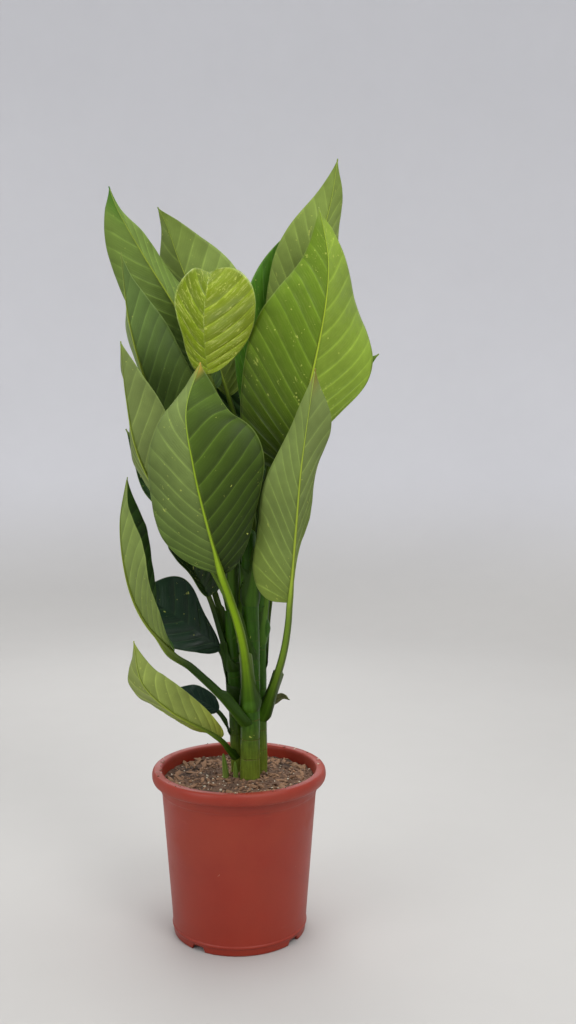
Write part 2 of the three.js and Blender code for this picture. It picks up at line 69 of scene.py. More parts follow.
camera_data = bpy.data.cameras.new("camera")
camera_data.lens = FOCAL_LENGTH
camera_data.sensor_width = SENSOR
camera_data.sensor_fit = "AUTO"
camera = bpy.data.objects.new("camera", camera_data)
camera.location = CAMERA_AT
camera.rotation_euler = (math.radians(90 - CAMERA_PITCH), 0, 0)
bpy.context.scene.collection.objects.link(camera)
bpy.context.scene.camera = camera
print("camera at", CAMERA_AT)

# %% [markdown]
# ## Colours
#
# A colour is easiest to name as it looks on a screen, from 0 to 255. Shaders want linear light, so
# one small helper turns the first into the second.


# %% Colour helper
def linear(red, green, blue):
    """A screen colour, 0 to 255, as linear light with full opacity"""
    channels = []
    for level in (red, green, blue):
        share = level / 255
        channels.append(share / 12.92 if share <= 0.04045 else ((share + 0.055) / 1.055) ** 2.4)
    return (*channels, 1.0)


# %% [markdown]
# ## Shader helpers
#
# A material is a small graph. Written out node by node it gets long, so one class adds a node,
# sets its inputs and joins it up in a single call. An input is given by name or by number, and its
# value is either a plain value or the output of another node.


# %% Graph helper
class Graph:
    """Adds nodes to a node tree"""

    def __init__(self, tree):
        self.tree = tree

    def join(self, value, socket):
        """Gives a socket the output of another node, or a plain value"""
        if isinstance(value, bpy.types.NodeSocket):
            self.tree.links.new(value, socket)
        else:
            socket.default_value = value

    def node(self, kind, inputs=None, **settings):
        made = self.tree.nodes.new(kind)
        for name, value in settings.items():
            setattr(made, name, value)
        for key, value in (inputs or {}).items():
            self.join(value, made.inputs[key])
        return made

    def math(self, operation, *values):
        made = self.node("ShaderNodeMath", dict(enumerate(values)), operation=operation)
        return made.outputs[0]

    def vector_math(self, operation, *values):
        made = self.node("ShaderNodeVectorMath", dict(enumerate(values)), operation=operation)
        return made.outputs[0]

    def times(self, colour, gain):
        """A colour or a vector times one number"""
        made = self.node("ShaderNodeVectorMath", {0: colour, "Scale": gain}, operation="SCALE")
        return made.outputs[0]

    def ramp_value(self, value, low, high, to_low=0.0, to_high=1.0, smooth=True):
        """value carried from low..high to to_low..to_high, held at the ends"""
        inputs = {"Value": value, "From Min": low, "From Max": high, "To Min": to_low, "To Max": to_high}
        made = self.node("ShaderNodeMapRange", inputs, clamp=True)
        made.interpolation_type = "SMOOTHSTEP" if smooth else "LINEAR"
        return made.outputs["Result"]

    def mix_colour(self, factor, first, second):
        made = self.node("ShaderNodeMix", {0: factor}, data_type="RGBA")
        self.join(first, made.inputs[6])
        self.join(second, made.inputs[7])
        return made.outputs[2]

    def noise(self, vector, scale, detail=2.0, roughness=0.5, distortion=0.0):
        inputs = {
            "Vector": vector,
            "Scale": scale,
            "Detail": detail,
            "Roughness": roughness,
            "Distortion": distortion,
        }
        return self.node("ShaderNodeTexNoise", inputs).outputs["Fac"]

    def axis(self, vector, number):
        """One part of a vector: 0, 1 or 2"""
        return self.node("ShaderNodeSeparateXYZ", {0: vector}).outputs[number]


# %% [markdown]
# ## Materials and shared effects
#
# An effect that several finishes share is a node group, which is made once. It puts out a colour or
# a mask only, and each material places it with its own values. Most patterns lie in the object's
# own coordinates. Those that must follow a leaf or a cane read its UV map, which is called chart.

# %% Material helpers
FLOAT = "NodeSocketFloat"
COLOUR = "NodeSocketColor"
VECTOR = "NodeSocketVector"


def new_group(name, inputs, outputs):
    """An empty shader node group with typed sockets, and its graph, entry and exit"""
    group = bpy.data.node_groups.new(name, "ShaderNodeTree")
    for label, kind, value in inputs:
        socket = group.interface.new_socket(label, in_out="INPUT", socket_type=kind)
        if value is not None:
            socket.default_value = value
    for label, kind in outputs:
        group.interface.new_socket(label, in_out="OUTPUT", socket_type=kind)
    graph = Graph(group)
    entry = graph.node("NodeGroupInput").outputs
    leave = graph.node("NodeGroupOutput").inputs
    return group, graph, entry, leave


def use_group(graph, group, inputs):
    """The outputs of a shared effect, placed in a material with that material's own values"""
    made = graph.node("ShaderNodeGroup", node_tree=group)
    for key, value in inputs.items():
        graph.join(value, made.inputs[key])
    return made.outputs


def new_material(name):
    """A material with one Principled shader: its graph, its shader and its object coordinates"""
    material = bpy.data.materials.new(name)
    material.use_nodes = True
    graph = Graph(material.node_tree)
    shader = material.node_tree.nodes["Principled BSDF"].inputs
    place = graph.node("ShaderNodeTexCoord").outputs["Object"]
    return material, graph, shader, place


def read_chart(graph):
    return graph.node("ShaderNodeUVMap", uv_map="chart").outputs["UV"]


def read_paint(graph, layer):
    """What is painted on the vertices under this name: a colour, and the same as one number"""
    painted = graph.node("ShaderNodeAttribute", attribute_name=layer).outputs
    return painted["Color"], painted["Fac"]


def add_relief(graph, shader, height, strength, distance):
    bump = graph.node("ShaderNodeBump", {"Height": height, "Strength": strength, "Distance": distance})
    graph.join(bump.outputs["Normal"], shader["Normal"])


# %% [markdown]
# ## Leaf veins as a shared effect
#
# A dieffenbachia leaf has a thick midrib and a dozen side ribs on each half, which leave it at a
# slant and bend up towards the margin, with finer veins between them. Every blade below carries a
# UV map that is laid out along those ribs: one direction runs across the blade and the other runs
# from rib to rib. So the ribs are simply stripes in the UV map. The same group serves the
# underside, where ribs stand out pale, and the topside, where they are grooves.

# %% Group: leaf veins
FINE_VEINS = 6  # between one rib and the next
RIB_FADE = (1.0, 0.7)  # gone at the margin, whole up to this part of the way out
MARGIN_BAND = (0.98, 0.998)


def make_vein_group():
    group, g, entry, leave = new_group(
        "leaf_veins",
        [("UV", VECTOR, None), ("Vector", VECTOR, None), ("Rib width", FLOAT, 0.1)],
        [("Rib", FLOAT), ("Fine vein", FLOAT), ("Panel", FLOAT), ("Margin", FLOAT)],
    )
    split = g.node("ShaderNodeSeparateXYZ", {0: entry["UV"]})
    out = g.math("ABSOLUTE", g.math("MULTIPLY_ADD", split.outputs[0], 2.0, -1.0))
    inner = g.ramp_value(out, *RIB_FADE)

    # a rib lies where the count along the blade is whole, and is a little broken, as real ones are
    turn = g.math("FRACT", split.outputs[1])
    distance = g.math("ABSOLUTE", g.math("SUBTRACT", turn, 0.5))
    rib = g.ramp_value(distance, g.math("SUBTRACT", 0.5, entry["Rib width"]), 0.5)
    broken = g.ramp_value(g.noise(entry["Vector"], 35.0, detail=3.0), 0.3, 0.65, 0.45, 1.0)
    g.join(g.math("MULTIPLY", g.math("MULTIPLY", rib, inner), broken), leave["Rib"])

    # the finer veins run between the ribs and come and go
    fine_turn = g.math("FRACT", g.math("MULTIPLY", split.outputs[1], float(FINE_VEINS)))
    fine = g.ramp_value(g.math("ABSOLUTE", g.math("SUBTRACT", fine_turn, 0.5)), 0.15, 0.5)
    faint = g.ramp_value(g.noise(entry["Vector"], 60.0), 0.3, 0.7, 0.15, 1.0)
    g.join(g.math("MULTIPLY", g.math("MULTIPLY", fine, inner), faint), leave["Fine vein"])

    # Panel runs from -0.5 to 0.5 between two ribs; the leaf faces paint the pleats' shade and light with
    # it
    g.join(g.math("SUBTRACT", turn, 0.5), leave["Panel"])
    g.join(g.ramp_value(out, *MARGIN_BAND), leave["Margin"])
    return group


vein_group = make_vein_group()
print("group", vein_group.name)

# %% [markdown]
# ## Speckles as a shared effect
#
# Pale flecks lie scattered over most of the leaves, dense on young ones and few on old ones, and
# the canes have them too. A Voronoi texture gives one random point for each cell. A cell keeps its
# fleck only if its random number is below the amount asked for, and a second number sets its size.


# %% Group: speckles
def make_speckle_group():
    group, g, entry, leave = new_group(
        "speckles",
        [("Vector", VECTOR, None), ("Scale", FLOAT, 150.0), ("Amount", FLOAT, 0.2), ("Size", FLOAT, 0.3)],
        [("Fleck", FLOAT)],
    )
    scaled = g.times(entry["Vector"], entry["Scale"])

    # the coordinates are bent by noise, so that no fleck is a perfect disc
    bend = g.node("ShaderNodeTexNoise", {"Vector": scaled, "Scale": 2.6, "Detail": 2.0}).outputs["Color"]
    bent = g.vector_math("MULTIPLY_ADD", bend, (0.9, 0.9, 0.9), scaled)
    cells = g.node("ShaderNodeTexVoronoi", {"Vector": bent, "Scale": 1.0})
    draw = g.node("ShaderNodeSeparateColor", {0: cells.outputs["Color"]})
    chosen = g.math("LESS_THAN", draw.outputs[0], entry["Amount"])
    small = g.math("POWER", draw.outputs[1], 2.0)
    radius = g.math("MULTIPLY", entry["Size"], g.ramp_value(small, 0.0, 1.0, 0.3, 1.0, smooth=False))
    spot = g.ramp_value(cells.outputs["Distance"], radius, g.math("MULTIPLY", radius, 0.5))
    bright = g.ramp_value(draw.outputs[2], 0.0, 1.0, 0.35, 1.0, smooth=False)
    g.join(g.math("MULTIPLY", g.math("MULTIPLY", spot, chosen), bright), leave["Fleck"])
    return group


speckle_group = make_speckle_group()
print("group", speckle_group.name)

# %% [markdown]
# ## Mottling as a shared effect
#
# No living surface has one even colour. This group lightens and darkens a colour in soft clouds of
# two sizes. Leaves, canes, soil and pot all use it with their own strength.

# %% Group: mottling
NARROW_CLOUDS = 7.0  # how many times finer the small clouds are
BROAD_SHARE = 0.7
CLOUD_GAIN = 4.0


def make_mottle_group():
    group, g, entry, leave = new_group(
        "mottling",
        [
            ("Vector", VECTOR, None),
            ("Colour", COLOUR, None),
            ("Scale", FLOAT, 20.0),
            ("Strength", FLOAT, 0.2),
        ],
        [("Colour", COLOUR), ("Cloud", FLOAT)],
    )
    broad = g.noise(entry["Vector"], entry["Scale"], detail=3.0)
    narrow = g.noise(entry["Vector"], g.math("MULTIPLY", entry["Scale"], NARROW_CLOUDS), detail=2.0)
    cloud = g.math("MULTIPLY_ADD", broad, BROAD_SHARE, g.math("MULTIPLY", narrow, 1 - BROAD_SHARE))
    strength = g.math("MULTIPLY", entry["Strength"], CLOUD_GAIN)
    swing = g.math("MULTIPLY", g.math("SUBTRACT", cloud, 0.5), strength)
    g.join(g.times(entry["Colour"], g.math("ADD", swing, 1.0)), leave["Colour"])
    g.join(cloud, leave["Cloud"])
    return group


mottle_group = make_mottle_group()
print("group", mottle_group.name)


def mottled(graph, place, colour, scale, strength):
    """The clouded colour, and the clouds as a mask"""
    inputs = {"Vector": place, "Colour": colour, "Scale": scale, "Strength": strength}
    made = use_group(graph, mottle_group, inputs)
    return made["Colour"], made["Cloud"]


def specks(graph, vector, scale, amount, size):
    inputs = {"Vector": vector, "Scale": scale, "Amount": amount, "Size": size}
    return use_group(graph, speckle_group, inputs)["Fleck"]


# %% [markdown]
# ## Marbling and flecks
#
# Young leaves, which have the most flecks, are also marbled with cream, in streaks that follow the
# ribs, so their noise is laid out on the chart. Flecks lie in clusters and are drawn out along the
# ribs in the same way, and a finer dust of them lies between.

# %% Marbling and flecks
MARBLE_CREAM = linear(176, 184, 92)
MARBLE_STRETCH = (2.2, 1.6, 0.0)
MARBLE_FROM, MARBLE_FULL = 0.12, 0.4  # amounts of flecks between which the marbling sets in
FLECK_PALE = linear(208, 216, 104)
FLECK_STRETCH = (20.0, 4.6, 0.0)


def add_marbling(g, place, chart, amount, colour):
    along_ribs = g.vector_math("MULTIPLY_ADD", chart, MARBLE_STRETCH, place)
    streaks = g.noise(along_ribs, 3.4, detail=5.0, roughness=0.78)
    young = g.ramp_value(amount, MARBLE_FROM, MARBLE_FULL, 0.0, 0.75)
    return g.mix_colour(g.math("MULTIPLY", g.ramp_value(streaks, 0.5, 0.66), young), colour, MARBLE_CREAM)


def add_flecks(g, place, chart, amount, share, colour):
    cluster = g.ramp_value(g.noise(place, 16.0, detail=1.0), 0.42, 0.62, 0.1, 1.6)
    clustered = g.math("MULTIPLY", amount, cluster)
    stretched = g.vector_math("MULTIPLY_ADD", chart, FLECK_STRETCH, place)
    flecks = specks(g, stretched, 1.0, clustered, 0.42)
    dust = specks(g, place, 300.0, clustered, 0.5)
    both = g.math("MAXIMUM", flecks, g.math("MULTIPLY", dust, 0.8))
    return g.mix_colour(g.math("MULTIPLY", both, share), colour, FLECK_PALE)


# %% [markdown]
# ## Leaf finishes
#
# The two faces of a leaf differ. The underside, which this plant shows most, is matt and greyer,
# with pale raised ribs. The topside is darker, glossier and has the flecks. The base colour of each
# face is painted on the mesh, because it differs from leaf to leaf and from half to half, and on some
# leaves it holds painted shade. The nodes add everything finer. Across each panel between two ribs
# the colour is painted dark at one rib and light at the next, as painted shade and light of the pleat,
# most on dark leaves. A vein is a paler and yellower version of the leaf's own green.

# %% Leaf faces
VEIN_GAIN = (1.55, 1.5, 1.45)
VEIN_LIFT = (0.04, 0.06, 0.012)
RIB_WIDTH = 0.13
MARGIN_PALE = linear(150, 170, 92)
MARGIN_SHARE = 0.35


def make_leaf_face(name, tone, rib_strength, fleck_strength, gloss, shine, depth):
    material, g, shader, place = new_material(name)
    chart = read_chart(g)
    painted, _ = read_paint(g, tone)
    _, amount = read_paint(g, "flecks")
    _, strength = read_paint(g, "rib_strength")
    veins = use_group(g, vein_group, {"UV": chart, "Vector": place, "Rib width": RIB_WIDTH})
    clouded, cloud = mottled(g, place, painted, 11.0, 0.26)
    marbled = add_marbling(g, place, chart, amount, clouded)

    # painted shade and light of each pleat: dark at one rib, light at the next, deeper on dark greens
    green = g.node("ShaderNodeSeparateColor", {0: painted}).outputs[1]
    pleat_shade_depth = g.ramp_value(green, 0.08, 0.24, 0.8, 0.3)
    swing = g.math("MULTIPLY", veins["Panel"], g.math("MULTIPLY", strength, pleat_shade_depth))
    shaded = g.times(marbled, g.math("ADD", swing, 1.0))

    rib = g.math("MULTIPLY", veins["Rib"], strength)
    raised = g.math("MULTIPLY_ADD", veins["Fine vein"], 0.1, g.math("MULTIPLY", rib, rib_strength))
    ribbed = g.mix_colour(raised, shaded, g.vector_math("MULTIPLY_ADD", shaded, VEIN_GAIN, VEIN_LIFT))
    flecked = add_flecks(g, place, chart, amount, fleck_strength, ribbed)
    edged = g.mix_colour(g.math("MULTIPLY", veins["Margin"], MARGIN_SHARE), flecked, MARGIN_PALE)
    g.join(edged, shader["Base Color"])

    g.join(g.ramp_value(cloud, 0.3, 0.7, gloss - 0.06, gloss + 0.08), shader["Roughness"])
    shader["Specular IOR Level"].default_value = shine
    grain = g.noise(place, 700.0, detail=2.0)
    fine_relief = g.math("MULTIPLY_ADD", veins["Fine vein"], 0.5, g.math("MULTIPLY", grain, 0.3))
    add_relief(g, shader, g.math("MULTIPLY_ADD", rib, 1.0, fine_relief), 0.5, depth)
    return material


underside = make_leaf_face(
    "leaf_underside",
    "under_tone",
    rib_strength=0.6,
    fleck_strength=0.8,
    gloss=0.5,
    shine=0.17,
    depth=0.0006,
)
topside = make_leaf_face(
    "leaf_topside",
    "top_tone",
    rib_strength=0.5,
    fleck_strength=0.9,
    gloss=0.36,
    shine=0.28,
    depth=-0.0006,
)
print("leaf faces:", underside.name, topside.name)

# %% [markdown]
# ## Stalk finish
#
# Petiole and midrib are striped along their length. A narrow band on the side that faces out is
# painted bright and the flanks are painted dull, which makes them look round and fleshy: partly the
# stalk's own pale keel and partly a painted highlight, with painted shade on the flanks.

# %% Stalk finish
STALK_SHINE = 0.18


def make_stalk_finish():
    material, g, shader, place = new_material("leaf_stalk")
    chart = read_chart(g)
    painted, _ = read_paint(g, "under_tone")
    clouded, _ = mottled(g, place, painted, 30.0, 0.14)
    stripe = g.noise(g.vector_math("MULTIPLY", chart, (34.0, 2.0, 1.0)), 1.0, detail=2.0)
    # a painted highlight along the keel and painted shade on the flanks, partly the stalk's pale keel
    flank = g.math("PINGPONG", g.axis(chart, 0), 0.5)
    keel_light_and_flank_shade = g.ramp_value(flank, 0.05, 0.15, 1.4, 0.6)
    gain = g.math("MULTIPLY", g.ramp_value(stripe, 0.3, 0.7, 0.84, 1.12), keel_light_and_flank_shade)
    g.join(g.times(clouded, gain), shader["Base Color"])
    add_relief(g, shader, stripe, 0.4, 0.0006)
    shader["Roughness"].default_value = 0.42
    shader["Specular IOR Level"].default_value = STALK_SHINE
    return material


stalk_finish = make_stalk_finish()
print("stalk finish:", stalk_finish.name)

# %% [markdown]
# ## Finishing a piece
#
# Every piece ends the same way: its bmesh becomes an object at the origin, in metres, with its
# materials, it rides on the plant's root body, and the plain solids it stands for are hidden.


# %% Finishing helpers
def make_object(name, bm, materials, smooth=True):
    """Turns a bmesh in millimetres into an object in metres"""
    bmesh.ops.scale(bm, vec=(METRES, METRES, METRES), verts=bm.verts)
    mesh = bpy.data.meshes.new(name)
    bm.to_mesh(mesh)
    bm.free()
    for material in materials:
        mesh.materials.append(material)
    if smooth:
        mesh.shade_smooth()
    made = bpy.data.objects.new(name, mesh)
    bpy.context.scene.collection.objects.link(made)
    print(f"{name}: {len(mesh.polygons)} faces")
    return made


def finish_piece(name, bm, materials, stands_for=(), smooth=True):
    """Turns a bmesh in millimetres into a piece that rides on the plant"""
    piece = make_object(name, bm, materials, smooth)
    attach(piece, "root")
    if stands_for:
        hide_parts(*stands_for)
    return piece


# %% [markdown]
# ## Small rules
#
# A few rules of arithmetic are used all over: a value between two others, a soft step from 0 to 1,
# a soft hill, a mixed colour, and a direction from two angles.


# %% Small rules
def between(low, high, share):
    return low + (high - low) * share


def smooth_step(value, low, high):
    share = min(max((value - low) / (high - low), 0.0), 1.0)
    return share * share * (3 - 2 * share)


def bell(value, width):
    """A bell-shaped hill, 1 in the middle"""
    return math.exp(-((value / width) ** 2))


def mix(first, second, share):
    return tuple(between(a, b, share) for a, b in zip(first, second))


def direction(azimuth, elevation):
    """The direction of an azimuth and an elevation in degrees: 0 is the front, 90 is +X"""
    a, e = math.radians(azimuth), math.radians(elevation)
    return Vector((math.sin(a) * math.cos(e), -math.cos(a) * math.cos(e), math.sin(e)))


# %% [markdown]
# ## Smooth lines
#
# Stems and leaves hang on smooth curves. A curve passes through the same points as on the plain
# solid, as a centripetal Catmull-Rom curve, which doesn't overshoot at uneven points. Blender can
# walk a Bezier piece between two points, so each stretch is turned into one. Distances along the
# curve are stored, so that a place can be asked for by its distance.


# %% Smooth lines
class SmoothLine:
    """A smooth curve through points, read by distance"""

    STEPS = 40

    def __init__(self, points):
        points = [Vector(point) for point in points]
        ends = [2 * points[0] - points[1], *points, 2 * points[-1] - points[-2]]
        self.walk = [points[0]]
        self.marks = [0.0]
        self.knots = [0.0]
        for before, start, end, after in zip(ends, ends[1:], ends[2:], ends[3:]):
            a = (start - before).length ** 0.5
            b = (end - start).length ** 0.5
            c = (after - end).length ** 0.5
            leave = ((start - before) / a - (end - before) / (a + b) + (end - start) / b) * b
            arrive = ((end - start) / b - (after - start) / (b + c) + (after - end) / c) * b
            stretch = geometry.interpolate_bezier(
                start, start + leave / 3, end - arrive / 3, end, self.STEPS + 1
            )
            for point in stretch[1:]:
                self.marks.append(self.marks[-1] + (point - self.walk[-1]).length)
                self.walk.append(point)
            self.knots.append(self.marks[-1])
        self.length = self.marks[-1]

    def at(self, distance):
        """The point and the direction at a distance, straight on past the ends"""
        marks = self.marks
        low, high = 0, len(marks) - 2
        while low < high:
            middle = (low + high + 1) // 2
            if marks[middle] <= distance:
                low = middle
            else:
                high = middle - 1
        start, end = self.walk[low], self.walk[low + 1]
        share = (distance - marks[low]) / (marks[low + 1] - marks[low])
        point = start.lerp(end, share) if 0 <= share <= 1 else start + (end - start) * share
        before = self.walk[max(low - 1, 0)]
        after = self.walk[min(low + 2, len(self.walk) - 1)]
        turn = min(max(share, 0), 1)
        heading = (end - before).lerp(after - start, turn).normalized()
        return point, heading


# %% [markdown]
# ## Where the canes stand
#
# Three canes rise close together, nearly upright. The leaves stand on them, so their places come
# first. A leaf belongs to the cane whose middle passes nearest to the foot of its petiole.

# %% Where the canes stand
SOIL_LEVEL = 205
ROOT_DEPTH = 62
CANE_FOOT = SOIL_LEVEL - ROOT_DEPTH
CANES = {
    "cane_front": {
        "path": [(14, -6, CANE_FOOT), (15, -7, 260), (16, -9, 400), (13, -8, 540)],
        "radius": (14, 10),
    },
    "cane_left": {"path": [(1, 18, CANE_FOOT), (-4, 19, 270), (-12, 20, 430)], "radius": (11, 8)},
    "cane_right": {"path": [(27, 20, CANE_FOOT), (27, 21, 320), (27, 22, 500)], "radius": (10.5, 8)},
}


class CaneLine:
    """The middle and the radius of a cane at a height"""

    def __init__(self, cane):
        self.line = SmoothLine(cane["path"])
        self.foot, self.top = cane["path"][0][2], cane["path"][-1][2]
        self.radius = cane["radius"]

    def at(self, height):
        share = (height - self.foot) / (self.top - self.foot)
        middle, _ = self.line.at(share * self.line.length)
        return middle, between(*self.radius, share)


cane_lines = [CaneLine(cane) for cane in CANES.values()]
print("canes:", [round(cane.line.length) for cane in cane_lines], "mm long")

# %% [markdown]
# ## The line of a leaf
#
# Petiole and midrib are one smooth curve. At each point of it the underside faces some way, which
# turns evenly from the base of the blade to its tip, and the blade spreads at a right angle to both.


# %% The line of a leaf
def host_of(point):
    """The cane whose middle passes nearest to a point"""
    place = Vector(point)
    return min(cane_lines, key=lambda cane: (cane.at(place.z)[0] - place).length)


class LeafLine:
    """Where the blade lies: point, way of the underside and way sideways along the midrib"""

    def __init__(self, leaf):
        self.line = SmoothLine([*leaf["petiole"], *leaf["blade"]])
        self.host = host_of(leaf["petiole"][0])
        self.foot = leaf["petiole"][0][2]
        self.stalk = self.line.knots[len(leaf["petiole"])]
        self.blade = self.line.length - self.stalk
        self.face = leaf["face"]

    def at(self, along):
        point, tangent = self.line.at(self.stalk + along * self.blade)
        share = min(max(along, 0.0), 1.0)
        start, end = self.face
        facing = direction(between(start[0], end[0], share), between(start[1], end[1], share))
        facing = (facing - tangent * facing.dot(tangent)).normalized()
        return point, facing, tangent.cross(facing)


# %% [markdown]
# ## The blade
#
# A blade is about a millimetre thick, widest near the middle, folded a little along the midrib,
# waved at the margin and pleated between its side ribs. It starts as a flat grid whose columns run
# across and whose rows follow the ribs. Each vertex of the grid is then carried to its place by the
# rule that shaped the plain solid, with steeper rows and with the pleats added. A second grid just
# behind the first is the other face. A sculpted plane would work too, but the rule keeps all the
# leaves within their solids.

# %% Outline and ribs of a blade
BLADE_COLUMNS = 34
BLADE_ROWS = 150
BLADE_THICKNESS = 0.9
ROW_CROWDING = 0.55  # how much closer the rows lie at the base and at the tip
BASE_TAPER = 0.55
TIP_TAPER = 1.25
RIB_SPREAD = 1.2
RIB_DISTANCE = 21
FEWEST_RIBS = 8
MOST_RIBS = 15
RIB_STAGGER = 0.4
RIB_WANDER = 0.3
PLEAT = 1.9  # depth of the pleats between the ribs
PLEAT_MIDDLE = 0.4


def crowded(even):
    return between(even, (1 - math.cos(math.pi * even)) / 2, ROW_CROWDING)


def flat_width(along, half):
    """Half width of a flat blade as a part of its widest"""
    skewed = along ** (math.log(0.5) / math.log(half["peak"]))
    taper = between(half["taper"], TIP_TAPER, along)
    return max(0.0, math.sin(math.pi * skewed)) ** taper


def rib_phase(leaf, line, row, side):
    """Counts the side ribs from the base up: a whole number is a rib"""
    ribs = min(max(line.blade / RIB_DISTANCE, FEWEST_RIBS), MOST_RIBS)
    wander = RIB_WANDER * noise.noise(Vector((row * 4, side * 5.3, leaf["wave"][2] * 7)))
    return ribs * row**RIB_SPREAD + side * RIB_STAGGER / 2 + wander + 0.5


def pleat_height(phase, out):
    """Height of the underside over the even blade: a crest at each rib and a lopsided hollow between"""
    turn = phase % 1.0
    crest = 0.6 * abs(2 * turn - 1) ** 1.8 + 0.4 * turn
    fade = smooth_step(out, 0.0, 0.25) * (1 - smooth_step(out, 0.6, 1.0))
    return PLEAT * (crest - PLEAT_MIDDLE) * fade


print("blade grid:", BLADE_COLUMNS, "by", BLADE_ROWS)

# %% [markdown]
# ## Laying a blade in place
#
# A place on the flat grid is first pushed up along the midrib, the further out the more, because
# the ribs rise. It is then swung out from the midrib on an arc, which gives the fold and the curl,
# and last lifted by the wave, a fine frill and the pleat.

# %% Laying a blade in place
TIP_HALF_WIDTH = 0.9
LOBE_FADE = 6
WAVE_GRIP = 14  # where a half is narrower than this it is waved less
PLEAT_GRIP = 40  # and where it is narrower than this it is pleated less
FRILL = 1.1
RIB_SWEEP = 0.92  # how steeply the ribs rise: 0 would lay them straight across
RIB_RISE = 1.3
RIB_BEND = 1.14


def blade_place(leaf, line, column, row):
    """The place on the middle of the blade, and the outward direction of its underside"""
    side = -1 if column < 0 else 1
    half = leaf["left"] if column < 0 else leaf["right"]
    out = abs(column)
    half_width = max(flat_width(row, half) * half["width"], TIP_HALF_WIDTH)
    width = out * half_width
    start = row * between(1, row**RIB_RISE, RIB_SWEEP)
    lobe = leaf["lobe"] * (width / half["width"]) * (1 - row) ** LOBE_FADE
    along = start + (row - start) * out**RIB_BEND - lobe
    share = min(max(along, 0.0), 1.0)
    point, facing, across = line.at(along)

    # each half leaves the midrib at its fold and curls on towards the margin
    fold = math.radians(between(*half["fold"], share))
    curl = math.radians(between(*half["curl"], share)) / half["width"]
    angle = fold + curl * width
    point = point + across * (side * (math.sin(angle) - math.sin(fold)) / curl)
    point = point + facing * ((math.cos(angle) - math.cos(fold)) / curl)
    outward = facing * math.cos(angle) + across * (side * math.sin(angle))
    if out < 1e-6:
        outward = facing

    height, count, phase = leaf["wave"]
    grip = min(1.0, half_width / WAVE_GRIP)
    ripple = height * out**2 * math.sin(FULL_TURN * count * along + phase + side)
    frill = FRILL * out**3 * noise.noise(Vector((along * 14, side * 3.7, phase * 5)))
    pleat = pleat_height(rib_phase(leaf, line, row, side), out) * min(1.0, half_width / PLEAT_GRIP)
    return point + outward * ((ripple + frill) * grip + pleat), outward


# %% [markdown]
# ## Where a stalk clasps its cane
#
# A leaf's foot doesn't end on the cane like a twig. It widens into a sheath that is wrapped round
# the stem. So wherever the lowest part of the stalk would run inside the cane it is pushed out to
# the cane's skin, in the direction away from the cane's middle. Older leaves lie over younger ones.

# %% Clasping
CLASP_REACH = 70.0
CLASP_START = (2.0, 16.0)  # over this stretch of the stalk the clasping sheath comes to the surface
CLASP_LETS_GO = 0.6
CANE_SKIN = 1.05  # the cane's radius with its rings and unevenness
CANE_TIP = 20
SHEATH_DEPTH = -2.0
SHEATH_LAYER = (2.6, 0.6)  # how thick it lies on the cane: the lower, the older and further out
LAYER_HEIGHTS = (220, 540)


def clasp(line, skin, distance):
    """Lays the foot of a stalk round its cane where it would run inside it"""
    host = line.host
    middle, radius = host.at(skin.z)
    away = Vector((skin.x - middle.x, skin.y - middle.y, 0))
    low, high = LAYER_HEIGHTS
    layer = between(*SHEATH_LAYER, (line.foot - low) / (high - low))
    hug = radius * CANE_SKIN + between(SHEATH_DEPTH, layer, smooth_step(distance, *CLASP_START))
    hold = 1 - smooth_step(distance, CLASP_LETS_GO * CLASP_REACH, CLASP_REACH)
    hold *= 1 - smooth_step(skin.z, host.top - CANE_TIP, host.top)
    return skin + away.normalized() * (max(0.0, hug - away.length) * hold)


# %% [markdown]
# ## Stalk: petiole and midrib
#
# The petiole is a fleshy stalk with a channel on its inner side and, low down, the two wings of its
# sheath. It runs on under the blade as the midrib, thinner and thinner up to the tip. Extruding a
# circle along the curve would do too, but a grid that is rolled up into a tube brings its UV map
# with it, and the stripes on the stalk follow that map.

# %% Rules of a stalk
STALK_SIDES = 20
STALK_STEP = 4.0
STALK_TAPER = 0.7
MIDRIB_START = 3.0
MIDRIB_END = 0.6
MIDRIB_TAPER = 0.6
MIDRIB_REACH = 0.985
JOIN_SHARE = 0.14  # on this part of the blade the petiole thins into the midrib
STALK_FACES = 0.03  # the petiole faces as the blade does here, near its base
STALK_SINKS = (-30, 5)  # round the blade's base the stalk sinks behind it
SHEATH_SHARE = 0.42
SHEATH_SPREAD = 0.7
SHEATH_ROOT = 18.0  # over this length it widens, out of sight, from the middle of the cane
ROOT_SHARE = 0.45
CHANNEL = 0.45
WING_TURN = 0.36
WING_WIDTH = 0.06


def stalk_radius(leaf, line, distance):
    """The radius of petiole and midrib at a distance from the foot"""
    along = max((distance - line.stalk) / line.blade, 0.0)
    share = min(1.0, distance / line.stalk)
    petiole = between(*leaf["stalk"], share**STALK_TAPER)
    midrib = between(MIDRIB_START, MIDRIB_END, along**MIDRIB_TAPER)
    on_blade = smooth_step(distance, line.stalk, line.stalk + JOIN_SHARE * line.blade)
    rooted = between(ROOT_SHARE, 1, smooth_step(distance, 0.0, SHEATH_ROOT))
    return between(petiole, midrib, on_blade) * rooted


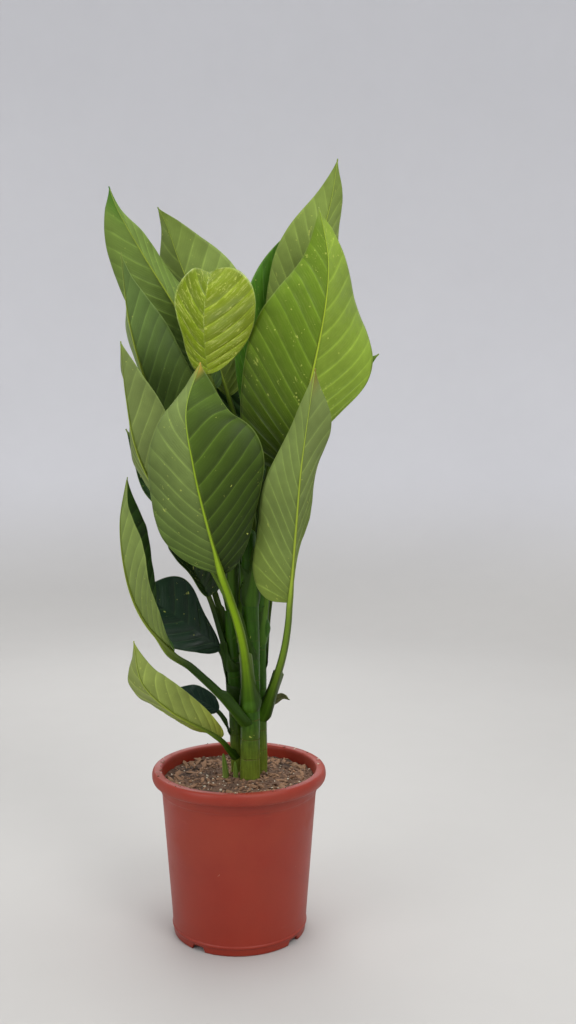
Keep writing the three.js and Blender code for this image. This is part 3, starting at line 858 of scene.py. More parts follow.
def stalk_place(leaf, line, distance, turn):
    """The place on the stalk's skin at a distance and at a turn of 0..1 round it"""
    along = (distance - line.stalk) / line.blade
    _, facing, _ = line.at(max(along, STALK_FACES))
    point, tangent = line.line.at(distance)
    facing = (facing - tangent * facing.dot(tangent)).normalized()
    across = tangent.cross(facing)
    radius = stalk_radius(leaf, line, distance)
    before, after = STALK_SINKS
    sunk = smooth_step(distance, line.stalk + before, line.stalk + after)
    sink = sunk * max(radius - BLADE_THICKNESS / 2, 0.0)
    angle = FULL_TURN * turn
    wide, high = math.sin(angle), math.cos(angle)

    # the channel on the inner side, and beside it the wings of the sheath, which end in free tips
    channel = max(0.0, -high) ** 3 * (1 - smooth_step(along, -0.06, 0.02))
    share = min(1.0, distance / line.stalk)
    sheath = 1 - smooth_step(share, 0.0, SHEATH_SHARE)
    on_wing = bell(abs(turn - 0.5) - (0.5 - WING_TURN), WING_WIDTH)
    wing = on_wing * (0.35 + 0.4 * smooth_step(share, 0.2, SHEATH_SHARE))
    wing *= 1 - smooth_step(share, SHEATH_SHARE, SHEATH_SHARE + 0.03)
    spread = radius * (1 + SHEATH_SPREAD * sheath + wing)
    depth = radius * (1 - CHANNEL * channel + wing)
    skin = point + facing * (sink + depth * high) + across * (spread * wide)
    return clasp(line, skin, distance) if distance < CLASP_REACH else skin


# %% [markdown]
# ## Rolled tubes
#
# Stalks, canes and shoots are all tubes of a changing form. Each is a grid whose two long sides are
# brought together and merged, with its ends filled. Its skin is given by a rule, so one helper
# makes them all.


# %% Rolled tubes
def rolled_tube(bm, sides, steps, place, paint=None):
    """A grid rolled up into a closed tube: place(turn, along) gives the points of its skin"""
    made = bmesh.ops.create_grid(bm, x_segments=sides, y_segments=steps, size=1, calc_uvs=True)["verts"]
    for vert in made:
        turn, along = (vert.co.x + 1) / 2, (vert.co.y + 1) / 2
        vert.co = place(turn % 1.0, along)
        if paint:
            paint(vert, along)
    faces = list({face for vert in made for face in vert.link_faces})
    bmesh.ops.remove_doubles(bm, verts=made, dist=1e-3)
    rims = {edge for face in faces for edge in face.edges if edge.is_boundary}
    faces += bmesh.ops.holes_fill(bm, edges=list(rims), sides=0)["faces"]
    bmesh.ops.recalc_face_normals(bm, faces=faces)
    return faces


# %% [markdown]
# ## Painting a leaf
#
# The blade is painted vertex by vertex: one base colour for each face, with the two halves slightly
# different, a base and a tip of their own, and the amount of flecks. On some leaves the darker half
# and the dark base are painted shade. The stalk is painted from its own two colours, the green of the
# petiole and the pale green of the midrib. Paint on vertices is enough here, because the grid of a
# blade is much finer than the change of its base colour.

# %% Leaf paint
STALK_FOOT = linear(54, 86, 14)
STALK_PALES = (15, 140)  # between these distances from the foot its deep green gives way
MIDDLE_SEAM = 0.02  # half the width of the change of colour at the midrib
BASE_STRENGTH = 0.8
RIBS_BEGIN = (0.0, 0.06)
RIBS_END = (1.0, 0.8)
MIDRIB_BEGINS = (-40, 60)  # millimetres before and after the base of the blade
MIDRIB_FADES = 0.45
MIDRIB_FADED = 0.6


class LeafMesh:
    """The bmesh of one leaf, with the layers that its finishes read"""

    def __init__(self, look):
        self.look = look
        self.bm = bmesh.new()
        self.chart = self.bm.loops.layers.uv.new("chart")
        self.under_tone = self.bm.verts.layers.float_color.new("under_tone")
        self.top_tone = self.bm.verts.layers.float_color.new("top_tone")
        self.flecks = self.bm.verts.layers.float.new("flecks")
        self.rib_strength = self.bm.verts.layers.float.new("rib_strength")

    def paint_blade(self, vert, column, row):
        look = self.look
        on_right = smooth_step(column, -MIDDLE_SEAM, MIDDLE_SEAM)
        low = smooth_step(row, look["base_reach"], 0.0)
        tip = smooth_step(row, 1 - look["tip_reach"], 1.0)
        # the second half's colour and the base's colour; on some leaves these are painted shade
        under = mix(look["under"], look["under_right"], on_right)
        under = mix(under, mix(look["base"], look["base_right"], on_right), low * BASE_STRENGTH)
        top = mix(look["top"], look["top_right"], on_right)
        vert[self.under_tone] = mix(under, look["tip"], tip)
        vert[self.top_tone] = mix(top, look["tip"], tip)
        vert[self.flecks] = look["flecks"]
        ribbed = smooth_step(row, *RIBS_END) * smooth_step(row, *RIBS_BEGIN)
        vert[self.rib_strength] = look["ribs"] * ribbed

    def paint_stalk(self, vert, line, distance, reach):
        look = self.look
        before, after = MIDRIB_BEGINS
        on_blade = smooth_step(distance, line.stalk + before, line.stalk + after)
        faded = smooth_step(distance, line.stalk + MIDRIB_FADES * line.blade, reach)
        rib_tone = mix(look["midrib"], look["under"], MIDRIB_FADED * faded)
        rooted = smooth_step(distance, *STALK_PALES)
        vert[self.under_tone] = mix(STALK_FOOT, mix(look["petiole"], rib_tone, on_blade), rooted)
        vert[self.top_tone] = vert[self.under_tone]
        vert[self.flecks] = look["flecks"]


# %% [markdown]
# ## Putting a leaf together
#
# A leaf is two flat grids, carried to their places and bridged round the margin, and the tube of
# its stalk, which starts inside the cane and ends just short of the tip. Underside, topside and
# stalk have a finish each.


# %% Leaf builder
def add_sheet(mesh, leaf, line, facing, finish):
    """One face of a blade: facing 1 is the underside, -1 the topside"""
    sheet = bmesh.ops.create_grid(
        mesh.bm, x_segments=BLADE_COLUMNS, y_segments=BLADE_ROWS, size=1, calc_uvs=True
    )["verts"]
    for vert in sheet:
        column, row = vert.co.x, crowded((vert.co.y + 1) / 2)
        place, outward = blade_place(leaf, line, column, row)
        vert.co = place + outward * (facing * BLADE_THICKNESS / 2)
        mesh.paint_blade(vert, column, row)
    chart = mesh.chart
    for face in {face for vert in sheet for face in vert.link_faces}:
        face.material_index = finish
        side = -1 if sum(corner[chart].uv.x for corner in face.loops) < 2 else 1
        for corner in face.loops:
            corner[chart].uv.y = rib_phase(leaf, line, crowded(corner[chart].uv.y), side)


def add_stalk(mesh, leaf, line, finish):
    reach = line.stalk + MIDRIB_REACH * line.blade
    steps = round(reach / STALK_STEP)

    def place(turn, along):
        return stalk_place(leaf, line, along * reach, turn)

    def paint(vert, along):
        mesh.paint_stalk(vert, line, along * reach, reach)

    for face in rolled_tube(mesh.bm, STALK_SIDES, steps, place, paint):
        face.material_index = finish


def make_leaf(name, leaf, look, materials):
    line = LeafLine(leaf)
    mesh = LeafMesh(look)
    add_sheet(mesh, leaf, line, 1, 0)
    add_sheet(mesh, leaf, line, -1, 1)
    margins = [edge for edge in mesh.bm.edges if edge.is_boundary]
    bmesh.ops.bridge_loops(mesh.bm, edges=margins)
    bmesh.ops.recalc_face_normals(mesh.bm, faces=mesh.bm.faces)
    add_stalk(mesh, leaf, line, 2)
    finish_piece(name + "_fine", mesh.bm, materials, [name])


# %% [markdown]
# ## Where the leaves are
#
# The leaves rise steeply and turn their undersides outwards. Each is given by the points of its
# petiole and of its midrib, the way its underside faces at the base and at the tip, and its two
# halves, left and right as seen from below with the tip up: how wide each is, where it is widest,
# and its fold and curl at the base and at the tip. These are the numbers of the plain solids.


# %% Leaf table
def half(width, peak, fold, curl, taper=BASE_TAPER):
    return {"width": width, "peak": peak, "fold": fold, "curl": curl, "taper": taper}


def leaf_plan(petiole, blade, face, left, right, lobe, wave, stalk):
    plan = {"petiole": petiole, "blade": blade, "face": face, "left": left, "right": right}
    return {**plan, "lobe": lobe, "wave": wave, "stalk": stalk}


LEAVES = {
    "leaf_front": leaf_plan(
        [(15, -7, 292), (12, -30, 350), (5, -54, 408)],
        [(-17, -84, 490), (-36, -104, 565), (-48, -114, 623), (-57, -109, 690), (-42, -76, 750)],
        [(-5, -10), (-10, 25)],
        half(74, 0.38, (4, 25), (14, 25), taper=1),
        half(86, 0.52, (8, 10), (14, 25)),
        lobe=0.02, wave=(4, 2.2, 0.3), stalk=(8, 4.8)
    ),
    "leaf_front_right": leaf_plan(
        [(27, 21, 272), (42, 2, 316), (60, -40, 385)],
        [(68, -76, 453), (75, -100, 546), (81, -108, 621), (92, -108, 703), (98, -94, 742)],
        [(-15, -10), (-5, 10)],
        half(57, 0.24, (5, 12), (20, 15)),
        half(37, 0.7, (78, 32), (10, 10)),
        lobe=0.06, wave=(4, 2.4, 1.2), stalk=(7, 4)
    ),
    "leaf_right_large": leaf_plan(
        [(16, -9, 430), (28, -24, 520)],
        [(64, -34, 615), (96, -50, 741), (112, -52, 826), (115, -40, 880), (104, -14, 948)],
        [(5, 0), (15, 10)],
        half(90, 0.36, (10, 15), (12, 15)),
        half(97, 0.51, (4, 52), (10, 20), taper=1.85),
        lobe=0.04, wave=(6, 2, 2), stalk=(7, 4.5)
    ),
    "leaf_left_low": leaf_plan(
        [(15, -7, 274), (-20, -20, 320), (-52, -30, 354)],
        [(-82, -34, 382), (-117, -35, 420), (-138, -34, 466), (-149, -32, 545), (-141, -24, 607)],
        [(-62, -28), (-75, -5)],
        half(50, 0.56, (48, 60), (10, 10)),
        half(42, 0.48, (20, 30), (10, 10), taper=0.9),
        lobe=0.04, wave=(3, 2.2, 0.8), stalk=(8.5, 5.5)
    ),
    "leaf_bottom_left": leaf_plan(
        [(-2, 18, 222), (-13, 4, 240)],
        [(-24, -12, 262), (-86, -40, 306), (-122, -44, 344), (-134, -34, 396)],
        [(0, -50), (-30, -20)],
        half(40, 0.62, (15, 20), (12, 12)),
        half(34, 0.5, (25, 25), (10, 10)),
        lobe=0.05, wave=(3, 2, 0.2), stalk=(5.5, 3.5)
    ),
    "leaf_dark_left": leaf_plan(
        [(-5, 19, 292), (-17, 22, 343)],
        [(-26, 27, 371), (-76, 30, 410), (-140, 40, 450)],
        [(180, -20), (180, -20)],
        half(48, 0.67, (10, 10), (10, 10)),
        half(40, 0.5, (10, 10), (10, 10)),
        lobe=0.05, wave=(3, 2, 1.4), stalk=(5, 3.5)
    ),
    "leaf_low_small": leaf_plan(
        [(-4, 19, 252), (-17, 20, 272)],
        [(-30, 25, 288), (-60, 33, 304), (-91, 40, 316)],
        [(180, -20), (200, -30)],
        half(18, 0.45, (20, 20), (10, 10)),
        half(18, 0.45, (30, 30), (10, 10)),
        lobe=0.04, wave=(2, 2, 0), stalk=(4.5, 3)
    ),
    "leaf_dark_inner": leaf_plan(
        [(-9, 19, 336), (-24, 16, 394)],
        [(-41, 17, 446), (-79, 16, 514), (-106, 20, 590)],
        [(178, -5), (178, 0)],
        half(44, 0.4, (8, 8), (10, 10)),
        half(18, 0.45, (60, 50), (10, 10)),
        lobe=0.02, wave=(3, 2, 0.5), stalk=(5, 3.5)
    ),
    "leaf_left": leaf_plan(
        [(16, -9, 360), (-8, -25, 440)],
        [(-52, -26, 520), (-98, -26, 580), (-128, -24, 642), (-141, -20, 708), (-149, -14, 780)],
        [(-45, -15), (-60, 5)],
        half(46, 0.46, (14, 24), (10, 10)),
        half(56, 0.56, (15, 30), (10, 10)),
        lobe=0.04, wave=(4, 2.2, 2.2), stalk=(6.5, 4)
    ),
    "leaf_left_inner": leaf_plan(
        [(-8, 20, 350), (-28, 30, 430)],
        [(-64, 34, 530), (-114, 38, 596), (-150, 30, 668)],
        [(-170, -10), (-170, 0)],
        half(30, 0.45, (12, 12), (10, 10)),
        half(18, 0.45, (12, 12), (10, 10)),
        lobe=0.04, wave=(3, 2, 1), stalk=(5.5, 3.5)
    ),
    "leaf_upper_left": leaf_plan(
        [(15, -9, 450), (-2, 4, 530), (-34, 20, 590)],
        [(-72, 26, 640), (-114, 18, 715), (-138, 2, 800), (-148, -8, 892)],
        [(-42, -5), (-48, 5)],
        half(58, 0.42, (20, 34), (10, 10)),
        half(64, 0.38, (16, 30), (10, 10)),
        lobe=0.04, wave=(4, 2.2, 0.4), stalk=(6.5, 4)
    ),
    "leaf_tall_left": leaf_plan(
        [(-11, 20, 418), (-10, 26, 560), (-18, 42, 650)],
        [(-34, 50, 722), (-76, 54, 814), (-128, 48, 900), (-159, 40, 956), (-170, 42, 985)],
        [(-10, -10), (-10, 0)],
        half(62, 0.55, (12, 12), (12, 12)),
        half(32, 0.4, (35, 60), (15, 15)),
        lobe=0.03, wave=(4, 2.4, 1.9), stalk=(6, 3.5)
    ),
    "leaf_speckled": leaf_plan(
        [(13, -8, 535), (4, -2, 610), (-22, -18, 690)],
        [(-36, -30, 738), (-41, -30, 800), (-38, -12, 850), (-34, 20, 872)],
        [(188, -8), (180, -70)],
        half(74, 0.52, (8, 30), (15, 15)),
        half(46, 0.5, (30, 40), (15, 15)),
        lobe=0.04, wave=(3, 2, 0), stalk=(5.5, 3.5)
    ),
    "leaf_top_middle": leaf_plan(
        [(-9, 20, 378), (2, 34, 440), (6, 52, 580), (0, 66, 650)],
        [(-16, 76, 712), (-60, 90, 838), (-86, 94, 903), (-100, 90, 944), (-111, 83, 966)],
        [(0, -10), (-10, 0)],
        half(46, 0.58, (25, 30), (10, 10)),
        half(70, 0.5, (2, 8), (10, 10)),
        lobe=0.04, wave=(4, 2, 1.1), stalk=(6, 3.5)
    ),
    "leaf_tallest": leaf_plan(
        [(27, 22, 492), (38, 20, 600)],
        [(70, 22, 735), (94, 26, 849), (108, 26, 913), (121, 22, 964), (129, 18, 1015)],
        [(5, -5), (15, 0)],
        half(58, 0.42, (12, 12), (15, 15)),
        half(54, 0.45, (30, 40), (15, 15)),
        lobe=0.04, wave=(4, 2.2, 0.6), stalk=(6.5, 4)
    ),
    "leaf_dark_right": leaf_plan(
        [(27, 21, 420), (29, 42, 520), (22, 50, 615)],
        [(14, 56, 680), (36, 62, 826), (84, 56, 952)],
        [(185, -10), (190, -10)],
        half(50, 0.5, (12, 12), (10, 10)),
        half(35, 0.5, (12, 12), (10, 10)),
        lobe=0.04, wave=(4, 2.2, 2.6), stalk=(6, 4)
    ),
    "leaf_right_tip": leaf_plan(
        [(27, 21, 372), (45, 20, 520)],
        [(68, 14, 640), (126, 14, 716), (184, 22, 766)],
        [(20, -20), (10, -10)],
        half(38, 0.45, (20, 20), (10, 10)),
        half(26, 0.45, (40, 20), (10, 10)),
        lobe=0.04, wave=(4, 2, 0.9), stalk=(5.5, 3.5)
    ),
    "leaf_back_low": leaf_plan(
        [(27, 21, 290), (27, 58, 360)],
        [(20, 89, 416), (8, 119, 525), (4, 113, 650)],
        [(180, -10), (180, 15)],
        half(56, 0.42, (15, 15), (15, 15)),
        half(56, 0.42, (15, 15), (15, 15)),
        lobe=0.05, wave=(5, 2, 0.5), stalk=(6.5, 4)
    ),
    "leaf_back_right": leaf_plan(
        [(27, 21, 340), (40, 52, 440)],
        [(58, 86, 556), (86, 114, 680), (102, 104, 800)],
        [(160, -5), (155, 15)],
        half(50, 0.42, (15, 15), (15, 15)),
        half(50, 0.42, (15, 15), (15, 15)),
        lobe=0.05, wave=(4, 2.2, 1.6), stalk=(6, 4)
    ),
    "leaf_back_left": leaf_plan(
        [(-6, 19, 310), (-11, 50, 400)],
        [(-44, 84, 515), (-82, 112, 638), (-102, 102, 748)],
        [(200, -5), (205, 15)],
        half(54, 0.42, (15, 15), (15, 15)),
        half(54, 0.42, (15, 15), (15, 15)),
        lobe=0.05, wave=(4, 2.2, 2.4), stalk=(6, 4)
    ),
    "leaf_back_upper": leaf_plan(
        [(27, 21, 388), (25, 54, 470), (14, 72, 570)],
        [(10, 88, 662), (14, 116, 760), (20, 112, 872)],
        [(180, -5), (180, 20)],
        half(52, 0.42, (12, 15), (15, 15)),
        half(58, 0.38, (8, 15), (12, 15)),
        lobe=0.05, wave=(4, 2, 0.1), stalk=(6, 4)
    ),
}
print("leaves:", len(LEAVES))

# %% [markdown]
# ## The colours of each leaf
#
# Young leaves are yellow-green and full-grown ones mid green. The leaves deep in the bunch are
# painted a dark bluish green, which is painted shade, and so are the darker halves and dark bases
# of some leaves. One plain set of colours serves most leaves, and a leaf that differs changes some
# of them.
# They are colours as seen on a screen. The reach of a base or tip is the part of the blade that its
# own colour takes, and ribs is how strongly the ribs show.

# %% Leaf colours
GROWN = {
    "under": (100, 120, 52),
    "top": (52, 82, 28),
    "young": (122, 142, 56),
    "petiole": (84, 108, 30),
    "midrib": (138, 156, 50),
    "flecks": 0.04,
    "ribs": 1.0,
    "base_reach": 0.55,
    "tip_reach": 0.06,
}
LOOKS = {
    # its right half and its lower blade are painted darker, nearly black at the base on the right:
    # painted shade
    "leaf_front": {
        "under": (116, 134, 70),
        "under_right": (68, 90, 22),
        "base": (64, 88, 24),
        "base_right": (14, 28, 2),
        "base_reach": 1.0,
        "petiole": (112, 142, 12),
        "midrib": (128, 154, 36),
        "tip": (176, 148, 58),
    },
    "leaf_front_right": {
        "under": (114, 132, 66),
        "under_right": (110, 126, 66),
        "petiole": (98, 124, 36),
        "tip": (126, 116, 44),
        "tip_reach": 0.08,
    },
    # its left half and its base are painted a dark green: painted shade
    "leaf_right_large": {
        "under": (100, 128, 26),
        "under_right": (130, 156, 50),
        "base": (26, 42, 6),
        "base_right": (112, 136, 40),
        "base_reach": 0.78,
        "midrib": (148, 168, 44),
        "flecks": 0.18,
    },
    # its dark base is painted shade
    "leaf_left_low": {
        "under": (118, 136, 68),
        "base": (34, 58, 22),
        "base_reach": 0.3,
        "petiole": (38, 66, 8),
    },
    "leaf_bottom_left": {"under": (128, 142, 68), "young": (150, 158, 58), "flecks": 0.06},
    # painted a dark bluish green: painted shade deep in the bunch
    "leaf_dark_left": {
        "under": (60, 86, 44),
        "top": (20, 48, 27),
        "petiole": (52, 78, 34),
        "flecks": 0.05,
        "ribs": 0.5,
    },
    # painted a dark bluish green: painted shade deep in the bunch
    "leaf_low_small": {
        "under": (58, 84, 46),
        "top": (26, 52, 40),
        "petiole": (58, 84, 56),
        "flecks": 0,
        "ribs": 0.4,
    },
    # painted a dark green: painted shade deep in the bunch
    "leaf_dark_inner": {
        "under": (58, 84, 34),
        "top": (20, 44, 4),
        "petiole": (32, 56, 12),
        "flecks": 0.16,
        "ribs": 0.7,
    },
    "leaf_left": {"under": (112, 128, 66)},
    "leaf_left_inner": {"under": (84, 106, 48), "top": (40, 68, 30)},
    # its right half is painted a little darker: painted shade
    "leaf_upper_left": {"under": (112, 132, 66), "under_right": (94, 118, 56)},
    # its darker base is painted shade
    "leaf_tall_left": {
        "under": (110, 134, 58),
        "base": (58, 86, 44),
        "tip": (66, 118, 14),
        "tip_reach": 0.12,
    },
    "leaf_speckled": {
        "top": (124, 142, 18),
        "top_right": (112, 132, 16),
        "under": (108, 128, 42),
        "flecks": 0.52,
        "ribs": 1.3,
    },
    "leaf_top_middle": {"under": (124, 144, 66), "flecks": 0.1},
    "leaf_tallest": {"under": (126, 146, 66), "flecks": 0.12},
    "leaf_dark_right": {"top": (82, 130, 34), "under": (78, 102, 38), "flecks": 0.08},
    "leaf_right_tip": {"under": (62, 104, 26)},
    "leaf_back_low": {"under": (94, 116, 50)},
    "leaf_back_right": {"under": (102, 124, 50), "flecks": 0.08},
    "leaf_back_left": {"under": (92, 112, 48)},
    "leaf_back_upper": {"under": (106, 128, 52), "flecks": 0.1, "top": (44, 74, 24)},
}
print("leaves with colours of their own:", len(LOOKS))

# %% [markdown]
# ## Growing the leaves
#
# Each leaf takes its full set of colours, is built by the rules above and stands for the plain
# leaf of the same name. A colour that a leaf doesn't name is taken from another of its colours.

# %% Leaves
STAND_INS = {
    "under_right": "under",
    "top_right": "top",
    "base": "young",
    "base_right": "base",
    "tip": "young",
}


def look_of(name):
    """The full set of colours of a leaf, as linear light"""
    look = {**GROWN, **LOOKS.get(name, {})}
    for key, other in STAND_INS.items():
        look.setdefault(key, look[other])
    return {key: linear(*value) if isinstance(value, tuple) else value for key, value in look.items()}


for name, leaf in LEAVES.items():
    make_leaf(name, leaf, look_of(name), (underside, topside, stalk_finish))

# %% [markdown]
# ## Old sheath
#
# A dried curl of leaf base still hangs on the cane on the right. It is a tiny folded blade, so the
# leaf builder makes it too, with one dry, papery finish on both faces.

# %% Old sheath
SHEATH_DRY = linear(94, 98, 56)
SHEATH = leaf_plan(
    [(27, 21, 295), (42, 24, 299)],
    [(49, 24, 303), (58, 21, 308), (67, 16, 306)],
    [(20, -60), (20, -60)],
    half(7, 0.4, (35, 35), (30, 30)),
    half(6, 0.4, (35, 35), (30, 30)),
    lobe=0, wave=(1, 1, 0), stalk=(3.2, 2.4)
)


def make_dry_finish():
    material, g, shader, place = new_material("dry_sheath")
    clouded, cloud = mottled(g, place, SHEATH_DRY, 120.0, 0.5)
    g.join(clouded, shader["Base Color"])
    add_relief(g, shader, cloud, 0.6, 0.0008)
    shader["Roughness"].default_value = 0.85
    return material


dry = make_dry_finish()
make_leaf("old_sheath", SHEATH, look_of("old_sheath"), (dry, dry, dry))

# %% [markdown]
# ## Cane finish
#
# The canes are smooth, fleshy and green. Every fallen leaf left a ring round them and a thin brown
# scar, plainest on the old wood low down. The scars' colour follows the UV map, which is stretched
# so that one step of it is as long as the cane between two rings. Drawing them on an image would
# do too, but this way they stay sharp from near by.

# %% Cane finish
CANE_GREEN = linear(46, 82, 8)
CANE_BASE = linear(104, 120, 38)
SCAR_BROWN = linear(96, 84, 44)
CANE_SHINE = 0.18


def make_cane_finish():
    material, g, shader, place = new_material("cane_skin")
    chart = read_chart(g)
    height = g.axis(place, 2)
    base = g.mix_colour(g.ramp_value(height, 0.30, 0.20), CANE_GREEN, CANE_BASE)
    clouded, _ = mottled(g, place, base, 28.0, 0.3)
    lines = g.noise(g.vector_math("MULTIPLY", chart, (26.0, 1.2, 1.0)), 1.0, detail=3.0)
    streaked = g.times(clouded, g.ramp_value(lines, 0.3, 0.7, 0.8, 1.18))
    flecks = specks(g, place, 170.0, 0.17, 0.32)
    flecked = g.mix_colour(g.math("MULTIPLY", flecks, 0.85), streaked, FLECK_PALE)

    # scars: a ragged thin line in every step of the map
    ragged = g.math("MULTIPLY_ADD", g.noise(place, 160.0), 0.12, g.axis(chart, 1))
    distance = g.math("ABSOLUTE", g.math("SUBTRACT", g.math("FRACT", ragged), 0.5))
    aged = g.ramp_value(height, 0.45, 0.25, 0.2, 1.0)
    scar = g.math("MULTIPLY", g.ramp_value(distance, 0.455, 0.5), aged)
    worn = g.math("MULTIPLY", scar, g.ramp_value(g.noise(place, 70.0), 0.35, 0.6, 0.1, 0.6))
    g.join(g.mix_colour(worn, flecked, SCAR_BROWN), shader["Base Color"])
    add_relief(g, shader, g.math("MULTIPLY_ADD", scar, -1.0, g.math("MULTIPLY", lines, 0.5)), 0.5, 0.0008)
    g.join(g.ramp_value(scar, 0.0, 1.0, 0.38, 0.8), shader["Roughness"])
    shader["Specular IOR Level"].default_value = CANE_SHINE
    return material


cane_skin = make_cane_finish()
print("cane finish:", cane_skin.name)

# %% [markdown]
# ## Canes
#
# A cane is a rolled tube whose radius shrinks upwards. At every ring it swells a little, with a
# fine groove in the swelling, and its top is rounded off. A small bud sits on the outer side of
# the cane on the right. This relief is in the mesh, because it shows in the outline.

# %% Canes
CANE_SIDES = 28
CANE_STEP = 2.4
CANE_UNEVEN = 0.03
CANE_ROUNDING = 0.975  # from here up the top is rounded off
RING_SPACING = 27
RING_SWELL, RING_WIDTH = 0.028, 4.5
GROOVE_DEPTH, GROOVE_WIDTH = 0.03, 0.9
BUD = {"cane": "cane_right", "height": 402, "reach": 14, "swell": 6.0}


def round_place(line, along, turn, radius):
    """The place at a radius from a line, at a turn of 0..1 round it"""
    point, tangent = line.at(along * line.length)
    sideways = tangent.cross(Vector((0, 1, 0))).normalized()
    away = tangent.cross(sideways)
    angle = FULL_TURN * turn
    return point + sideways * (radius * math.cos(angle)) + away * (radius * math.sin(angle))


def make_cane(name, cane):
    line = SmoothLine(cane["path"])
    rings = round(line.length / RING_SPACING)
    thick, thin = cane["radius"]

    def skin(turn, along):
        phase = (along * rings) % 1.0
        distance = min(phase, 1 - phase) * RING_SPACING
        swell = RING_SWELL * bell(distance, RING_WIDTH) - GROOVE_DEPTH * bell(distance, GROOVE_WIDTH)
        rounded = math.sqrt(max(0.0, 1 - smooth_step(along, CANE_ROUNDING, 1.0) ** 2)) * 0.98 + 0.02
        angle = FULL_TURN * turn
        around = Vector((math.cos(angle), math.sin(angle), along * 9 + thick))
        uneven = 1 + CANE_UNEVEN * noise.noise(around)
        radius = between(thick, thin, along) * (1 + swell) * rounded * uneven
        if name == BUD["cane"]:
            height = line.at(along * line.length)[0].z
            bud = bell(height - BUD["height"], BUD["reach"])
            radius += BUD["swell"] * bud * max(0.0, -math.cos(angle)) ** 3
        return round_place(line, along, turn, radius)

    bm = bmesh.new()
    chart = bm.loops.layers.uv.new("chart")
    rolled_tube(bm, CANE_SIDES, round(line.length / CANE_STEP), skin)
    for face in bm.faces:
        for corner in face.loops:
            corner[chart].uv.y = corner[chart].uv.y * rings + 0.5
    finish_piece(name + "_fine", bm, [cane_skin], [name])


for name, cane in CANES.items():
    make_cane(name, cane)

# %% [markdown]
# ## Shoots
#
# Two young shoots push out of the soil beside the canes, each a rolled leaf with a sharp point. A
# rolled tube with a winding seam in relief shows that it is a leaf that hasn't opened.

# %% Shoots
SHOOTS = {
    "shoot_left": {"path": [(-17, 2, 188), (-18, 0, 212), (-21, -3, 238)], "radius": 4.6},
    "shoot_front": {"path": [(-3, -7, 188), (-4, -9, 208), (-5, -12, 230)], "radius": 4},
}
SHOOT_PALE = linear(150, 168, 84)
SHOOT_GREEN = linear(106, 142, 48)
SHOOT_SIDES = 20
SHOOT_STEPS = 40
SHOOT_POINT = 0.99
SEAM_WINDS = 0.55
SEAM_LAP = 0.14


def make_shoot(name, shoot):
    line = SmoothLine(shoot["path"])
    bm = bmesh.new()
    bm.loops.layers.uv.new("chart")
    tone = bm.verts.layers.float_color.new("under_tone")

    def skin(turn, along):
        seam = (turn - SEAM_WINDS * along) % 1.0
        lap = 1 + SEAM_LAP * (seam - 0.5)
        radius = shoot["radius"] * math.sqrt(max(0.0, 1 - SHOOT_POINT * along**2)) * lap
        return round_place(line, along, turn, radius)

    def paint(vert, along):
        vert[tone] = mix(SHOOT_PALE, SHOOT_GREEN, along)

    rolled_tube(bm, SHOOT_SIDES, SHOOT_STEPS, skin, paint)
    finish_piece(name + "_fine", bm, [stalk_finish], [name])


for name, shoot in SHOOTS.items():
    make_shoot(name, shoot)

# %% [markdown]
# ## Soil finishes
#
# Potting soil is peat with bits of bark and white grains. Damp peat is darker than dry peat, so the
# fill is mixed from both in soft patches. A crumb is small and needs only clouds and a grain.

# %% Soil finishes
PEAT = linear(118, 91, 72)
PEAT_DARK = linear(74, 57, 46)
PEAT_CRUMB = linear(108, 83, 66)
BARK = linear(144, 110, 82)
GRIT = linear(204, 194, 170)


def make_crumb_finish(name, colour, scale, strength, roughness):
    material, g, shader, place = new_material(name)
    clouded, _ = mottled(g, place, colour, scale, strength)
    g.join(clouded, shader["Base Color"])
    add_relief(g, shader, g.noise(place, 1400.0, detail=3.0), 0.7, 0.0006)
    shader["Roughness"].default_value = roughness
    return material


def make_soil_finish():
    material, g, shader, place = new_material("peat")
    damp = g.noise(place, 26.0, detail=3.0)
    base = g.mix_colour(g.ramp_value(damp, 0.35, 0.65), PEAT_DARK, PEAT)
    clouded, _ = mottled(g, place, base, 110.0, 0.4)
    bits = specks(g, place, 330.0, 0.14, 0.36)
    g.join(g.mix_colour(g.math("MULTIPLY", bits, 0.8), clouded, BARK), shader["Base Color"])
    grain = g.math("ADD", g.noise(place, 520.0, detail=4.0), g.math("MULTIPLY", bits, 0.5))
    add_relief(g, shader, grain, 0.9, 0.0014)
    shader["Roughness"].default_value = 0.95
    return material


peat_finish = make_soil_finish()
crumb_finishes = [
    make_crumb_finish("peat_crumbs", PEAT_CRUMB, scale=160.0, strength=0.4, roughness=0.95),
    make_crumb_finish("bark_bits", BARK, scale=140.0, strength=0.5, roughness=0.85),
    make_crumb_finish("grit", GRIT, scale=200.0, strength=0.2, roughness=0.8),
]
print("soil finishes:", peat_finish.name, *[finish.name for finish in crumb_finishes])

# %% [markdown]
# ## Soil surface
#
# The fill's surface is a square grid squeezed into a disc, because a disc of rings would have a
# pole in the middle. It is lifted by the plain solid's mound and waves and by finer noise. Its edge
# is pulled down along the pot's wall and closed below, so that it is a solid like any other.

# %% Soil surface
POT_WALL = 2.2
FLOOR_TOP = 12
FOOT_RADIUS = 88
SHOULDER_RADIUS = 103.5
SHOULDER_HEIGHT = 204
GAP = 0.3
SOIL_GRID = 150
SOIL_WAVE = 3.2
MOUND_AT, MOUND_WIDTH = (14, 6), 34
LUMP_WIDTHS = (9, 11)
GRAIN_SLANT, GRAIN_WIDTH = 1.7, 6.1
FINE_WAVES = ((1.3, 7, 0), (0.9, 2.6, 5))  # height, width, and which slice of the noise


def outer_radius(height):
    return between(FOOT_RADIUS, SHOULDER_RADIUS, height / SHOULDER_HEIGHT)


def soil_radius(height):
    return outer_radius(height) - POT_WALL - GAP


